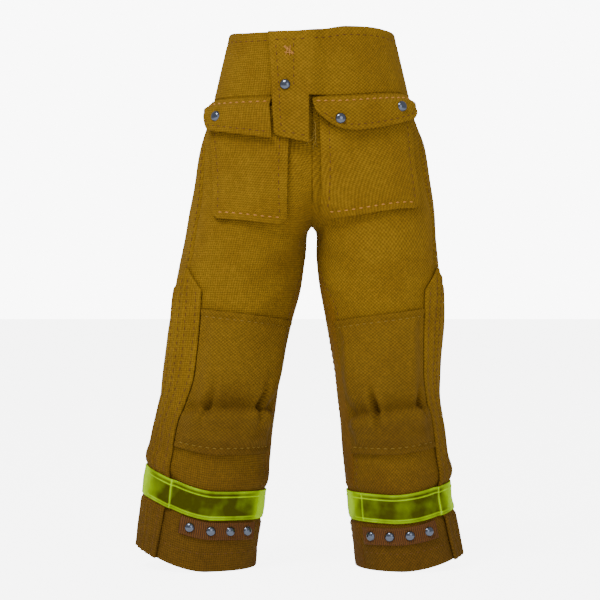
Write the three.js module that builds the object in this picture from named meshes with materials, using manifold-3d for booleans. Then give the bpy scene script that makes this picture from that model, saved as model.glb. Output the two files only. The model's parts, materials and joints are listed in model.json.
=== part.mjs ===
// Bunker pants of a 1:6-scale firefighter figure, standing on their own hems.
// Millimetres, +Z up, front towards -Y, the wearer's right at -X.
//
// Every piece of cloth lies on one surface. At each height a leg is an ellipse, and above the
// crotch the two ellipses run past the middle and are cut there, which gives the curved rise seam.
// A point of that surface is named by an angle round the leg (0 at the outer side, a quarter turn
// at the front, half a turn at the inner side), a height, and an offset outwards from the cloth.

import * as THREE from 'three';
import { mergeVertices } from 'three/addons/utils/BufferGeometryUtils.js';
import Module from 'manifold-3d';

const wasm = await Module();
wasm.setup();

// ---------------------------------------------------------------- driving dimensions
const WAIST_HEIGHT = 170;          // top edge of the waist above the floor
const YOKE_SEAM = 148.6;           // height of the seam under the waist yoke
const HIP_HEIGHT = 131;            // where the rise seam reaches its full depth
const CROTCH_HEIGHT = 109;
const THIGH_HEIGHT = 86;
const KNEE_HEIGHT = 57;
const SHIN_HEIGHT = 42;
const TAPE_HEIGHT = 21.4;          // middle of the reflective band

const WAIST_HALF_WIDTH = 26.4;
const YOKE_HALF_WIDTH = 31.4;
const HIP_HALF_WIDTH = 35.2;
const CROTCH_HALF_WIDTH = 39.8;
const RIGHT_LEG_OUTER = { thigh: 44.8, knee: 48.0, shin: 50.1, tape: 52.4, hem: 55.4 };
const RIGHT_LEG_INNER = { thigh: 4.9, knee: 10.4, shin: 12.6, tape: 15.4, hem: 17.8 };
const LEFT_LEG_OUTER = { thigh: 41.2, knee: 40.2, shin: 41.5, tape: 43.4, hem: 47.4 };
const LEFT_LEG_INNER = { thigh: 3.2, knee: 7.6, shin: 9.6, tape: 11.0, hem: 14.0 };

const FRONT_DEPTH = { waist: 16.5, yoke: 18.5, hip: 19.2, crotch: 19.4, thigh: 18.6, knee: 17.6,
  tape: 17, hem: 17.6 };
const BACK_DEPTH = { waist: 15.2, yoke: 18, hip: 20.4, crotch: 20.8, thigh: 18.6, knee: 16.4,
  tape: 16.6, hem: 17.4 };

const CLOTH = 0.8;                 // duck cloth of the outer shell
const GAP = 0.3;                   // clear space between two pieces sewn edge to edge
const LAYER_GAP = 0.3;             // clear space between two layers lying on each other
const HEM_FOLD = 0.7;              // second thickness of cloth turned up inside each hem
const HEM_FOLD_HEIGHT = 7;
const RIGHT_HEM_LIFT = 7.0;        // how far the outer side of each hem rises off the floor
const LEFT_HEM_LIFT = 4.0;

const TWIST_RIGHT = 8;             // degrees that each leg is turned, knee inwards, below the hip
const TWIST_LEFT = -8;
const INSEAM_FRONT = 153;          // degrees, front and back edges of the strip along the inseam
const INSEAM_BACK = 190;
const OVERLAY_HALF_WIDTH = 6.6;    // side panel that covers the outseam from the thigh down
const OVERLAY_CLOTH = 0.7;
const OVERLAY_APEX = 95.4;
const OVERLAY_SHOULDER = 88;

const PATCH_TOP_OUTER = 82.2;      // knee patch
const PATCH_TOP_INNER = 78.2;
const PATCH_BOTTOM = 36.6;
const PATCH_CLOTH = 0.7;
const PAD_THICKNESS = 1.5;
const PAD_BORDER = 2.6;            // patch cloth round the pad, sewn flat on the leg

const BAND_WIDTH = 9;              // reflective band
const BAND_THICKNESS = 0.35;
// How far each band is sewn below TAPE_HEIGHT, how much higher its outer side is than that, and
// how far the outer and inner end of each ribbon hang below the band's edge.
const RIGHT_BAND = { drop: 0.7, tilt: 0.7, ribbonOuter: 0, ribbonInner: 0.3 };
const LEFT_BAND = { drop: 2.0, tilt: -0.5, ribbonOuter: 0.2, ribbonInner: 1.2 };
const RIBBON_WIDTH = 5.4;          // studded ribbon under the band
const RIBBON_THICKNESS = 0.45;
const RIBBON_BELOW_BAND = 0.5;
const STUDS_PER_RIBBON = 4;
const STUD_PITCH = 6.2;
const RIBBON_SHIFT = 1.2;           // towards the inseam, from the middle of the leg's front
const STUD_RADIUS = 1.5;
const STUD_DOME = 0.8;

const POCKET_DEPTH = 2.1;          // from the leg to the outside of the pocket
const POCKET_CLOTH = 0.6;
const POCKET_MOUTH = YOKE_SEAM - 3.4;
const POCKET_BOTTOM = 110.2;
const POCKET_CORNER = 3.2;
const RIGHT_POCKET = { innerTop: 6.6, innerBottom: 8.2, outerTop: 30.1, outerBottom: 30.7 };
const LEFT_POCKET = { innerTop: 2.0, innerBottom: 3.4, outerTop: 28.9, outerBottom: 33.2 };

const FLAP_CLOTH = 0.8;            // pocket flaps
const FLAP_CLEARANCE = 1.1;        // room between flap and pocket for the snap fasteners
const FLAP_TOP = YOKE_SEAM - 0.5;
const FLAP_SLACK = 0.7;            // how far a flap runs past its pocket's edges

const FLY_EDGE = -0.9;             // x of the fly flap's hinged edge
const FLY_WIDTH_TOP = 12.4;
const FLY_WIDTH_BOTTOM = 10.4;
const FLY_BOTTOM_FREE = 136.2;     // height of the free and hinged lower corners
const FLY_BOTTOM_HINGE = 133.8;
const FLY_STANDOFF = 1.3;          // from the yoke to the inside of the fly flap
const FLY_OVER_POCKET = POCKET_DEPTH + 0.4;
const FLY_RISE_WIDTH = 6;          // over which the left yoke climbs to the flap's level
const TAPE_WIDTH = 5.4;            // hook and loop fastener
const TAPE_LENGTH = 9.5;
const TAPE_TOP = 167.4;
const TAPE_SHEET = 0.4;
const SHIELD_HALF_WIDTH = 6.2;     // cloth behind the fly opening

const SNAP_RADIUS = 1.65;
const SNAP_DOME = 0.8;
const SOCKET_RADIUS = 1.1;
const WASHER_RADIUS = 0.95;
const SOCKET_HEIGHT = 0.35;
const RECESS_RADIUS = 0.72;
const RECESS_DEPTH = 0.28;
const BALL_RADIUS = 0.42;
const POST_RADIUS = 0.5;
const HOLE_CLEARANCE = 0.3;
const SEAT_GAP = 0.15;             // between a metal rim and the cloth it is pressed on
const FACING_HEIGHT = 6;           // hem turned inside along the top edge
const FACING_CLOTH = 0.6;

const ACROSS_STEP = 4;             // between grid lines of the cloth, round the leg and up it
const UP_STEP = 8;
const FRONT_UP_STEP = 4.6;         // finer behind the pockets, so that they lie clear of it
const ROUND_SEGMENTS = 12;

// ---------------------------------------------------------------- colours
const material = (color, roughness, metalness = 0) =>
  new THREE.MeshStandardMaterial({ color, roughness, metalness });
const duck = material('#8f6a12', 0.9);
const duckDark = material('#7a5a10', 0.9);
const stripCloth = material('#84550f', 0.9);
const foam = material('#c9c2ae', 0.95);
const limeTape = material('#a3b80c', 0.25);
const ribbonWeave = material('#683a10', 0.8);
const nickel = material('#c9cbce', 0.22, 1);
const hookTape = material('#6f5413', 0.95);

// ---------------------------------------------------------------- smooth profiles
// A monotone cubic through [height, value] stations, straight past both ends.
function curve(stations) {
  const at = [...stations].sort((a, b) => a[0] - b[0]);
  const slope = at.slice(1).map((s, i) => (s[1] - at[i][1]) / (s[0] - at[i][0]));
  const tangent = at.map((s, i) => {
    if (i === 0) return slope[0];
    if (i === at.length - 1) return slope[i - 1];
    const product = slope[i - 1] * slope[i];
    return product <= 0 ? 0 : (2 * product) / (slope[i - 1] + slope[i]);
  });
  return (height) => {
    const last = at.length - 1;
    if (height <= at[0][0]) return at[0][1] + tangent[0] * (height - at[0][0]);
    if (height >= at[last][0]) return at[last][1] + tangent[last] * (height - at[last][0]);
    const i = at.findIndex((s) => s[0] > height) - 1;
    const span = at[i + 1][0] - at[i][0];
    const s = (height - at[i][0]) / span;
    const rise = at[i][1] * (1 + 2 * s) * (1 - s) ** 2 + at[i + 1][1] * s * s * (3 - 2 * s);
    return rise + span * (tangent[i] * s * (1 - s) ** 2 + tangent[i + 1] * s * s * (s - 1));
  };
}

const lerp = (a, b, s) => a + (b - a) * s;
const smooth = (a, b, v) => {
  const s = Math.min(1, Math.max(0, (v - a) / (b - a)));
  return s * s * (3 - 2 * s);
};
const degrees = Math.PI / 180;

const torsoHalfWidth = [[CROTCH_HEIGHT, CROTCH_HALF_WIDTH], [HIP_HEIGHT, HIP_HALF_WIDTH],
  [YOKE_SEAM, YOKE_HALF_WIDTH], [WAIST_HEIGHT, WAIST_HALF_WIDTH]];
const legStations = (leg) => [[0, leg.hem], [TAPE_HEIGHT, leg.tape], [SHIN_HEIGHT, leg.shin],
  [KNEE_HEIGHT, leg.knee], [THIGH_HEIGHT, leg.thigh]];
const depthCurve = (depth) => curve([[0, depth.hem], [TAPE_HEIGHT, depth.tape],
  [KNEE_HEIGHT, depth.knee], [THIGH_HEIGHT, depth.thigh], [CROTCH_HEIGHT, depth.crotch],
  [HIP_HEIGHT, depth.hip], [YOKE_SEAM, depth.yoke], [WAIST_HEIGHT, depth.waist]]);
const frontDepth = depthCurve(FRONT_DEPTH);
const backDepth = depthCurve(BACK_DEPTH);

// The outseam lies forward of the widest point, most of all at the knee.
const outseamDegrees = curve([[0, 21], [SHIN_HEIGHT, 26], [KNEE_HEIGHT + 6, 37],
  [THIGH_HEIGHT + 10, 32], [CROTCH_HEIGHT, 27], [HIP_HEIGHT, 17], [YOKE_SEAM, 10],
  [WAIST_HEIGHT, 8]]);

function makeSide(sign, outerLeg, innerLeg, lift, twist, pocket, band) {
  const outer = curve([...legStations(outerLeg), ...torsoHalfWidth]);
  const innerLegEdge = curve([...legStations(innerLeg), [CROTCH_HEIGHT, GAP / 2]]);
  const inner = (height) => {
    if (height <= CROTCH_HEIGHT) return innerLegEdge(height);
    const share = Math.min(1, (height - CROTCH_HEIGHT) / (HIP_HEIGHT - CROTCH_HEIGHT));
    return lerp(GAP / 2, -outer(height), share);
  };
  const turn = (height) => twist * (1 - smooth(THIGH_HEIGHT, HIP_HEIGHT, height));
  return { sign, outer, inner, lift, turn, pocket, band };
}

const right = makeSide(-1, RIGHT_LEG_OUTER, RIGHT_LEG_INNER, RIGHT_HEM_LIFT, TWIST_RIGHT,
  RIGHT_POCKET, RIGHT_BAND);
const left = makeSide(1, LEFT_LEG_OUTER, LEFT_LEG_INNER, LEFT_HEM_LIFT, TWIST_LEFT, LEFT_POCKET,
  LEFT_BAND);

// ---------------------------------------------------------------- the surface
const section = (side, height) => ({
  centre: (side.outer(height) + side.inner(height)) / 2,
  half: (side.outer(height) - side.inner(height)) / 2,
});

// The hem and what is sewn near it rise towards the outer side, and lie level elsewhere.
function hemLift(side, angle, height) {
  const share = Math.max(0, (Math.cos(angle) + 0.17) / 1.17) ** 1.6;
  return side.lift * share * (1 - smooth(TAPE_HEIGHT + 4, KNEE_HEIGHT + 4, height));
}

function frameAt(side, angle, height) {
  const { centre, half } = section(side, height);
  const depth = Math.sin(angle) >= 0 ? frontDepth(height) : backDepth(height);
  const across = Math.cos(angle);
  const forward = Math.sin(angle);
  const normal = new THREE.Vector3(side.sign * across / half, -forward / depth, 0).normalize();
  const point = new THREE.Vector3(side.sign * (centre + half * across), -depth * forward,
    height + hemLift(side, angle, height));
  return { point, normal };
}

function surfacePoint(side, angle, height, offset) {
  const { point, normal } = frameAt(side, angle, height);
  return point.addScaledVector(normal, offset);
}

// A place to seat a fastener: Z along the cloth's true normal, slope of the leg included.
function seatAt(side, angle, height, offset) {
  const step = 0.01;
  const across = surfacePoint(side, angle + step, height, offset)
    .sub(surfacePoint(side, angle - step, height, offset));
  const along = surfacePoint(side, angle, height + 1, offset)
    .sub(surfacePoint(side, angle, height - 1, offset));
  const normal = across.cross(along).normalize().multiplyScalar(-side.sign);
  return { point: surfacePoint(side, angle, height, offset), normal };
}

// The angle of the front surface at a distance x from the middle of the garment.
function angleAtX(side, x, height) {
  const { centre, half } = section(side, height);
  return Math.acos(Math.min(1, Math.max(-1, (x - centre) / half)));
}

const outseam = (side, height) => (outseamDegrees(height) + side.turn(height)) * degrees;
const radiusAt = (side, height) => (section(side, height).half + frontDepth(height)) / 2;
const asAngle = (side, height, length) => length / radiusAt(side, height);

// Edges of the inseam strip, which close on the crotch.
function inseam(side, height, patternDegrees) {
  const spread = smooth(CROTCH_HEIGHT - 2, CROTCH_HEIGHT - 30, height);
  return lerp(180, patternDegrees + side.turn(height), spread) * degrees;
}
// The middle of the garment above the crotch, GAP / 2 from the centre seam.
const centreSeam = (side, height) => angleAtX(side, GAP / 2, height);

const overlayFront = (side, height) =>
  outseam(side, height) + asAngle(side, height, OVERLAY_HALF_WIDTH);
const overlayBack = (side, height) =>
  outseam(side, height) - asAngle(side, height, OVERLAY_HALF_WIDTH);

// ---------------------------------------------------------------- solids
function solidFrom(positions, indices) {
  const geometry = new THREE.BufferGeometry();
  geometry.setAttribute('position', new THREE.Float32BufferAttribute(positions, 3));
  geometry.setIndex(signedVolume(positions, indices) < 0 ? flipped(indices) : indices);
  return geometry;
}

function signedVolume(positions, indices) {
  const corner = (i) => new THREE.Vector3().fromArray(positions, 3 * i);
  let volume = 0;
  for (let i = 0; i < indices.length; i += 3) {
    const [a, b, c] = [corner(indices[i]), corner(indices[i + 1]), corner(indices[i + 2])];
    volume += a.dot(b.cross(c)) / 6;
  }
  return volume;
}

function flipped(indices) {
  const turned = [];
  for (let i = 0; i < indices.length; i += 3) {
    turned.push(indices[i], indices[i + 2], indices[i + 1]);
  }
  return turned;
}

// A sheet of cloth as a closed solid. place(u, w) gives the angle and height of a grid point,
// and the two offsets give its inner and outer face there.
function sheet(side, place, innerOffset, outerOffset, columns, rows) {
  const positions = [];
  for (const offset of [innerOffset, outerOffset]) {
    for (let row = 0; row <= rows; row += 1) {
      for (let column = 0; column <= columns; column += 1) {
        const { angle, height } = place(column / columns, row / rows);
        surfacePoint(side, angle, height, offset(angle, height)).toArray(positions,
          positions.length);
      }
    }
  }
  const face = (columns + 1) * (rows + 1);
  const at = (layer, column, row) => layer * face + row * (columns + 1) + column;
  const indices = [];
  const quad = (a, b, c, d) => indices.push(a, b, c, a, c, d);
  for (let row = 0; row < rows; row += 1) {
    for (let column = 0; column < columns; column += 1) {
      quad(at(1, column, row), at(1, column + 1, row), at(1, column + 1, row + 1),
        at(1, column, row + 1));
      quad(at(0, column, row), at(0, column, row + 1), at(0, column + 1, row + 1),
        at(0, column + 1, row));
    }
  }
  for (let column = 0; column < columns; column += 1) {
    quad(at(0, column, 0), at(0, column + 1, 0), at(1, column + 1, 0), at(1, column, 0));
    quad(at(0, column + 1, rows), at(0, column, rows), at(1, column, rows),
      at(1, column + 1, rows));
  }
  for (let row = 0; row < rows; row += 1) {
    quad(at(0, 0, row + 1), at(0, 0, row), at(1, 0, row), at(1, 0, row + 1));
    quad(at(0, columns, row), at(0, columns, row + 1), at(1, columns, row + 1),
      at(1, columns, row));
  }
  return solidFrom(positions, indices);
}

// A sheet between two edges, each an angle at a height, and two ends, each a height at a share
// of the way from the first edge to the second.
function panel(side, edges, ends, offsets, acrossStep = ACROSS_STEP, upStep = UP_STEP) {
  const [firstEdge, secondEdge] = edges;
  const [lowEnd, highEnd] = ends;
  const place = (u, w) => {
    const height = lerp(lowEnd(u), highEnd(u), w);
    return { angle: lerp(firstEdge(height), secondEdge(height), u), height };
  };
  const middle = lerp(lowEnd(0.5), highEnd(0.5), 0.5);
  const width = Math.abs(secondEdge(middle) - firstEdge(middle)) * radiusAt(side, middle);
  const columns = 2 * Math.max(1, Math.round(width / acrossStep / 2));
  const rows = Math.max(1, Math.round((highEnd(0.5) - lowEnd(0.5)) / upStep));
  return sheet(side, place, offsets[0], offsets[1], columns, rows);
}

function toManifold(geometry) {
  const bare = geometry.clone();
  bare.deleteAttribute('normal');
  bare.deleteAttribute('uv');
  const merged = mergeVertices(bare, 1e-5);
  return new wasm.Manifold(new wasm.Mesh({
    numProp: 3,
    vertProperties: new Float32Array(merged.attributes.position.array),
    triVerts: new Uint32Array(merged.index.array),
  }));
}

function fromManifold(solid) {
  const mesh = solid.getMesh();
  const geometry = new THREE.BufferGeometry();
  geometry.setAttribute('position', new THREE.BufferAttribute(mesh.vertProperties, 3));
  geometry.setIndex(new THREE.BufferAttribute(mesh.triVerts, 1));
  return geometry;
}

const cut = (geometry, tool) => fromManifold(toManifold(geometry).subtract(toManifold(tool)));

const upright = new THREE.Vector3(0, 0, 1);
// Carries a shape built round the Z axis to a place on the cloth, with Z along the cloth's normal.
function seat(geometry, place) {
  const turn = new THREE.Quaternion().setFromUnitVectors(upright, place.normal);
  return geometry.applyQuaternion(turn).translate(place.point.x, place.point.y, place.point.z);
}

function drill(geometry, place) {
  const reach = 12;
  const bit = new THREE.CylinderGeometry(POST_RADIUS + HOLE_CLEARANCE,
    POST_RADIUS + HOLE_CLEARANCE, reach, ROUND_SEGMENTS).rotateX(Math.PI / 2);
  return cut(geometry, seat(bit, place));
}

// A turned part: [radius, z] points from the axis round to the axis again.
const turned = (points) => new THREE.LatheGeometry(
  points.map(([radius, z]) => new THREE.Vector2(radius, z)), ROUND_SEGMENTS).rotateX(Math.PI / 2);

function dome(radius, height, base) {
  const steps = 3;
  return Array.from({ length: steps + 1 }, (_, i) => {
    const angle = (i / steps) * Math.PI / 2;
    return [i === steps ? 0 : radius * Math.cos(angle), base + height * Math.sin(angle)];
  });
}

// ---------------------------------------------------------------- the garment
const pants = new THREE.Group();
function add(name, geometry, look) {
  const mesh = new THREE.Mesh(geometry, look);
  mesh.name = name;
  pants.add(mesh);
}

const constant = (value) => () => value;
const panelTop = YOKE_SEAM - GAP;

// Offsets of the shell's inside: double cloth where the hem is turned up.
const shellInside = (angle, height) =>
  -CLOTH - HEM_FOLD * (1 - smooth(HEM_FOLD_HEIGHT - 1, HEM_FOLD_HEIGHT + 1, height));
const shellOutside = constant(0);

function legPanels(name, side) {
  const seamShift = (height) => asAngle(side, height, GAP / 2);
  const frontInner = (height) => (height > CROTCH_HEIGHT
    ? centreSeam(side, height)
    : inseam(side, height, INSEAM_FRONT) - seamShift(height));
  const backInner = (height) => (height > CROTCH_HEIGHT
    ? 2 * Math.PI - backCentre(side, height)
    : inseam(side, height, INSEAM_BACK) + seamShift(height));
  const frontOuter = (height) => outseam(side, height) + seamShift(height);
  const backOuter = (height) => 2 * Math.PI + outseam(side, height) - seamShift(height);
  const ends = [constant(0), constant(panelTop)];
  const front = panel(side, [frontOuter, frontInner], ends, [shellInside, shellOutside],
    ACROSS_STEP, FRONT_UP_STEP);
  const back = panel(side, [backInner, backOuter], ends, [shellInside, shellOutside]);
  add(`${name}_back_panel`, back, duck);
  const stripTop = CROTCH_HEIGHT - 6;
  add(`${name}_inseam_strip`, panel(side,
    [(height) => inseam(side, height, INSEAM_FRONT) + seamShift(height),
      (height) => inseam(side, height, INSEAM_BACK) - seamShift(height)],
    [constant(0), constant(stripTop)], [shellInside, shellOutside]), stripCloth);
  return front;
}
const backCentre = (side, height) => angleAtX(side, GAP / 2, height);

function sidePanel(name, side) {
  const apex = OVERLAY_APEX;
  const top = (u) => lerp(apex, OVERLAY_SHOULDER, Math.abs(2 * u - 1));
  add(`${name}_side_panel`, panel(side,
    [(height) => overlayBack(side, height), (height) => overlayFront(side, height)],
    [constant(0), top], [constant(LAYER_GAP), constant(LAYER_GAP + OVERLAY_CLOTH)], 3.3), duck);
}

// The knee patch swells over its pad, and the pad tapers to nothing at its edges.
function kneePatch(name, side) {
  const outerEdge = (height) => overlayFront(side, height) + asAngle(side, height, GAP);
  const innerEdge = (height) => inseam(side, height, INSEAM_FRONT) - asAngle(side, height, GAP);
  const top = (u) => lerp(PATCH_TOP_OUTER, PATCH_TOP_INNER, u);
  const swell = (angle, height) => {
    const across = radiusAt(side, height);
    const fromOuter = (angle - outerEdge(height)) * across;
    const fromInner = (innerEdge(height) - angle) * across;
    const share = (angle - outerEdge(height)) / (innerEdge(height) - outerEdge(height));
    const fromEnds = Math.min(height - PATCH_BOTTOM, top(share) - height);
    const border = Math.min(fromOuter, fromInner, fromEnds);
    return PAD_THICKNESS * smooth(PAD_BORDER / 2, 2 * PAD_BORDER, border);
  };
  const patchInside = (angle, height) => 2 * LAYER_GAP + swell(angle, height);
  add(`${name}_knee_patch`, panel(side, [outerEdge, innerEdge], [constant(PATCH_BOTTOM), top],
    [(a, h) => patchInside(a, h) - LAYER_GAP, (a, h) => patchInside(a, h) - LAYER_GAP + PATCH_CLOTH],
    2.6, 3.6), duckDark);
  const padInset = 2.7 * PAD_BORDER;
  const padEdge = (edge, direction) => (height) =>
    edge(height) + direction * asAngle(side, height, padInset);
  add(`${name}_knee_pad`, panel(side, [padEdge(outerEdge, 1), padEdge(innerEdge, -1)],
    [constant(PATCH_BOTTOM + padInset), (u) => top(u) - padInset],
    [constant(LAYER_GAP), constant(PAD_THICKNESS - 0.1)], 2.6, 3.6), foam);
}

// Height of the band's lower edge, which is sewn on a slant.
const bandLow = (side, angle) =>
  TAPE_HEIGHT - BAND_WIDTH / 2 - side.band.drop + side.band.tilt * Math.cos(angle);

// The reflective band goes round the whole leg and climbs over the side panel. It is joined on
// the inseam, where its two ends meet.
function reflectiveBand(name, side) {
  const over = (angle, height) => {
    const turn = (angle > Math.PI * 1.5 ? angle - 2 * Math.PI : angle);
    const ramp = asAngle(side, height, 1.6);
    const margin = asAngle(side, height, 0.8);
    const rise = Math.min(
      smooth(overlayBack(side, height) - margin - ramp, overlayBack(side, height) - margin, turn),
      1 - smooth(overlayFront(side, height) + margin, overlayFront(side, height) + margin + ramp,
        turn));
    return LAYER_GAP + rise * (OVERLAY_CLOTH + LAYER_GAP);
  };
  const start = (height) => inseam(side, height, INSEAM_BACK) + asAngle(side, height, GAP / 2);
  const low = (u) => bandLow(side, start(TAPE_HEIGHT) + 2 * Math.PI * u);
  add(`${name}_reflective_band`, panel(side,
    [start, (height) => start(height) + 2 * Math.PI - asAngle(side, height, GAP)],
    [low, (u) => low(u) + BAND_WIDTH],
    [bandAngle(over), (a, h) => bandAngle(over)(a, h) + BAND_THICKNESS], 2.5, 4.5), limeTape);
}
// The band's angle runs past a full turn, so it is brought back before it is compared.
const bandAngle = (over) => (angle, height) => {
  const wrapped = angle > 2 * Math.PI ? angle - 2 * Math.PI : angle;
  return over(wrapped, height);
};

// ---------------------------------------------------------------- fasteners
// A domed rivet: dome outside, post through the cloth, washer inside.
function stud(cloth) {
  const washer = 0.3;
  const low = -cloth - SEAT_GAP;
  return turned([[0, low - washer], [WASHER_RADIUS, low - washer], [WASHER_RADIUS, low],
    [POST_RADIUS, low], [POST_RADIUS, SEAT_GAP], ...dome(STUD_RADIUS, STUD_DOME, SEAT_GAP)]);
}

// A snap cap: dome outside, post through the flap, and a socket with a recess under it.
function snapCap(cloth) {
  const low = -cloth - SEAT_GAP;
  const foot = low - SOCKET_HEIGHT;
  return turned([[0, foot + RECESS_DEPTH], [RECESS_RADIUS, foot + RECESS_DEPTH],
    [RECESS_RADIUS, foot], [SOCKET_RADIUS, foot], [SOCKET_RADIUS, low], [POST_RADIUS, low],
    [POST_RADIUS, SEAT_GAP], ...dome(SNAP_RADIUS, SNAP_DOME, SEAT_GAP)]);
}

// The other half: a ball that enters the recess, on a flange, with a washer behind the cloth.
function snapStud(cloth) {
  const flange = 0.25;
  const washer = 0.25;
  const low = -cloth - SEAT_GAP;
  const top = SEAT_GAP + flange;
  return turned([[0, low - washer], [WASHER_RADIUS, low - washer], [WASHER_RADIUS, low],
    [POST_RADIUS, low], [POST_RADIUS, SEAT_GAP], [SOCKET_RADIUS, SEAT_GAP], [SOCKET_RADIUS, top],
    ...dome(BALL_RADIUS, 0.3, top)]);
}

// ---------------------------------------------------------------- legs
const fronts = { right: legPanels('right', right), left: legPanels('left', left) };
for (const [name, side] of [['right', right], ['left', left]]) {
  sidePanel(name, side);
  kneePatch(name, side);
  reflectiveBand(name, side);
}

// Studded ribbon: centred on the leg's front, under the band.
function studdedRibbon(name, side) {
  const level = TAPE_HEIGHT - BAND_WIDTH / 2 - RIBBON_BELOW_BAND - RIBBON_WIDTH / 2;
  const centre = (overlayFront(side, level) + inseam(side, level, INSEAM_FRONT)) / 2
    + asAngle(side, level, RIBBON_SHIFT);
  const reach = asAngle(side, level, (STUDS_PER_RIBBON * STUD_PITCH) / 2);
  const angleAt = (u) => centre + (2 * u - 1) * reach;
  const middle = (u) => bandLow(side, angleAt(u)) - RIBBON_BELOW_BAND - RIBBON_WIDTH / 2
    - lerp(side.band.ribbonOuter, side.band.ribbonInner, u);
  let ribbon = panel(side, [constant(centre - reach), constant(centre + reach)],
    [(u) => middle(u) - RIBBON_WIDTH / 2, (u) => middle(u) + RIBBON_WIDTH / 2],
    [constant(LAYER_GAP), constant(LAYER_GAP + RIBBON_THICKNESS)], 2.6, 6);
  for (let i = 0; i < STUDS_PER_RIBBON; i += 1) {
    const share = (i + 0.5) / STUDS_PER_RIBBON;
    const place = seatAt(side, angleAt(share), middle(share), LAYER_GAP + RIBBON_THICKNESS);
    ribbon = drill(ribbon, place);
    fronts[name] = drill(fronts[name], place);
    add(`${name}_ribbon_stud_${i + 1}`,
      seat(stud(LAYER_GAP + RIBBON_THICKNESS + CLOTH), place), nickel);
  }
  add(`${name}_stud_ribbon`, ribbon, ribbonWeave);
}
studdedRibbon('right', right);
studdedRibbon('left', left);

// ---------------------------------------------------------------- pockets and flaps
// The pocket is a tray of cloth: a front and a narrow wall on three sides, open at the mouth.
const pocketX = (side, edge, height) => lerp(side.pocket[`${edge}Bottom`],
  side.pocket[`${edge}Top`], (height - POCKET_BOTTOM) / (POCKET_MOUTH - POCKET_BOTTOM));

function pocketBlock(side, inset, bottom, mouth, low, high) {
  const outer = (height) => angleAtX(side, pocketX(side, 'outer', height) - inset, height);
  const inner = (height) => angleAtX(side, pocketX(side, 'inner', height) + inset, height);
  const corner = POCKET_CORNER - inset;
  const width = side.pocket.outerBottom - side.pocket.innerBottom - 2 * inset;
  const bottomAt = (u) => {
    const fromEdge = Math.min(u, 1 - u) * width;
    const dip = Math.max(0, 1 - fromEdge / corner);
    return bottom + corner * (1 - Math.sqrt(1 - dip * dip));
  };
  return panel(side, [outer, inner], [bottomAt, constant(mouth)],
    [constant(low), constant(high)], 3, FRONT_UP_STEP);
}

function pocket(side) {
  const block = pocketBlock(side, 0, POCKET_BOTTOM, POCKET_MOUTH, LAYER_GAP, POCKET_DEPTH);
  const hollow = pocketBlock(side, POCKET_CLOTH, POCKET_BOTTOM + POCKET_CLOTH, POCKET_MOUTH + 3,
    LAYER_GAP - 1, POCKET_DEPTH - POCKET_CLOTH);
  return cut(block, hollow);
}

// A flap leaves the leg at the yoke seam and climbs to clear the pocket.
const flapInside = (angle, height) => lerp(POCKET_DEPTH + FLAP_CLEARANCE, LAYER_GAP,
  smooth(POCKET_MOUTH, FLAP_TOP, height));
const flapOutside = (angle, height) => flapInside(angle, height) + FLAP_CLOTH;

function pocketFlap(side, innerX, lowEdge) {
  const outer = (height) => angleAtX(side, pocketX(side, 'outer', height) + FLAP_SLACK, height);
  const inner = (height) => angleAtX(side, innerX(height), height);
  return panel(side, [outer, inner], [lowEdge, constant(FLAP_TOP)], [flapInside, flapOutside],
    3, 1.9);
}

const flyFreeX = (height) => FLY_EDGE - lerp(FLY_WIDTH_BOTTOM, FLY_WIDTH_TOP,
  (height - FLY_BOTTOM_FREE) / (WAIST_HEIGHT - FLY_BOTTOM_FREE));

// The right flap's lower edge falls away towards the fly, with a rounded outer corner. The left
// flap's lower edge is lowest at two fifths of its width from the fly, and drawn in at its
// inner corner.
const rightFlapEdge = (u) => lerp(138.6, 135.2, u) + 4.5 * Math.max(0, 1 - u / 0.14) ** 2;
const leftFlapEdge = (u) => 137.4 + 5.2 * ((0.62 - u) / 0.62) ** 2 * (u < 0.62 ? 1 : 0)
  + 6.2 * Math.max(0, (u - 0.62) / 0.38) ** 2.6;
const rightFlapInner = (height) => -flyFreeX(height) + 2 * GAP;
const leftFlapInner = (height) => pocketX(left, 'inner', height) - FLAP_SLACK;

let rightPocket = pocket(right);
let leftPocket = pocket(left);
let rightFlap = pocketFlap(right, rightFlapInner, rightFlapEdge);
let leftFlap = pocketFlap(left, leftFlapInner, leftFlapEdge);

// Seats one snap fastener: a cap through the moving cloth and a ball stud through the fixed one,
// both on one axis.
function snap(name, side, x, height, flapOuterOffset, flapCloth, baseOffset, baseCloth, flap,
  base) {
  const angle = angleAtX(side, x, height);
  const studPlace = seatAt(side, angle, height, baseOffset);
  const { normal } = studPlace;
  const reach = (flapOuterOffset - baseOffset) * Math.hypot(normal.x, normal.y);
  const capPlace = { point: studPlace.point.clone().addScaledVector(normal, reach), normal };
  add(`${name}_cap`, seat(snapCap(flapCloth), capPlace), nickel);
  add(`${name}_stud`, seat(snapStud(baseCloth), studPlace), nickel);
  return [drill(flap, capPlace), drill(base, studPlace)];
}

const flapLevel = POCKET_DEPTH + FLAP_CLEARANCE + FLAP_CLOTH;
[rightFlap, rightPocket] = snap('right_flap_outer_snap', right, 27.6, 142.2, flapLevel, FLAP_CLOTH,
  POCKET_DEPTH, POCKET_CLOTH, rightFlap, rightPocket);
[leftFlap, leftPocket] = snap('left_flap_inner_snap', left, 8.2, 141.5, flapLevel, FLAP_CLOTH,
  POCKET_DEPTH, POCKET_CLOTH, leftFlap, leftPocket);
[leftFlap, leftPocket] = snap('left_flap_outer_snap', left, 25.8, 143.4, flapLevel, FLAP_CLOTH,
  POCKET_DEPTH, POCKET_CLOTH, leftFlap, leftPocket);

add('right_front_panel', fronts.right, duck);
add('left_front_panel', fronts.left, duck);
add('right_pocket', rightPocket, duck);
add('left_pocket', leftPocket, duck);
add('right_pocket_flap', rightFlap, duck);
add('left_pocket_flap', leftFlap, duck);

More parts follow.
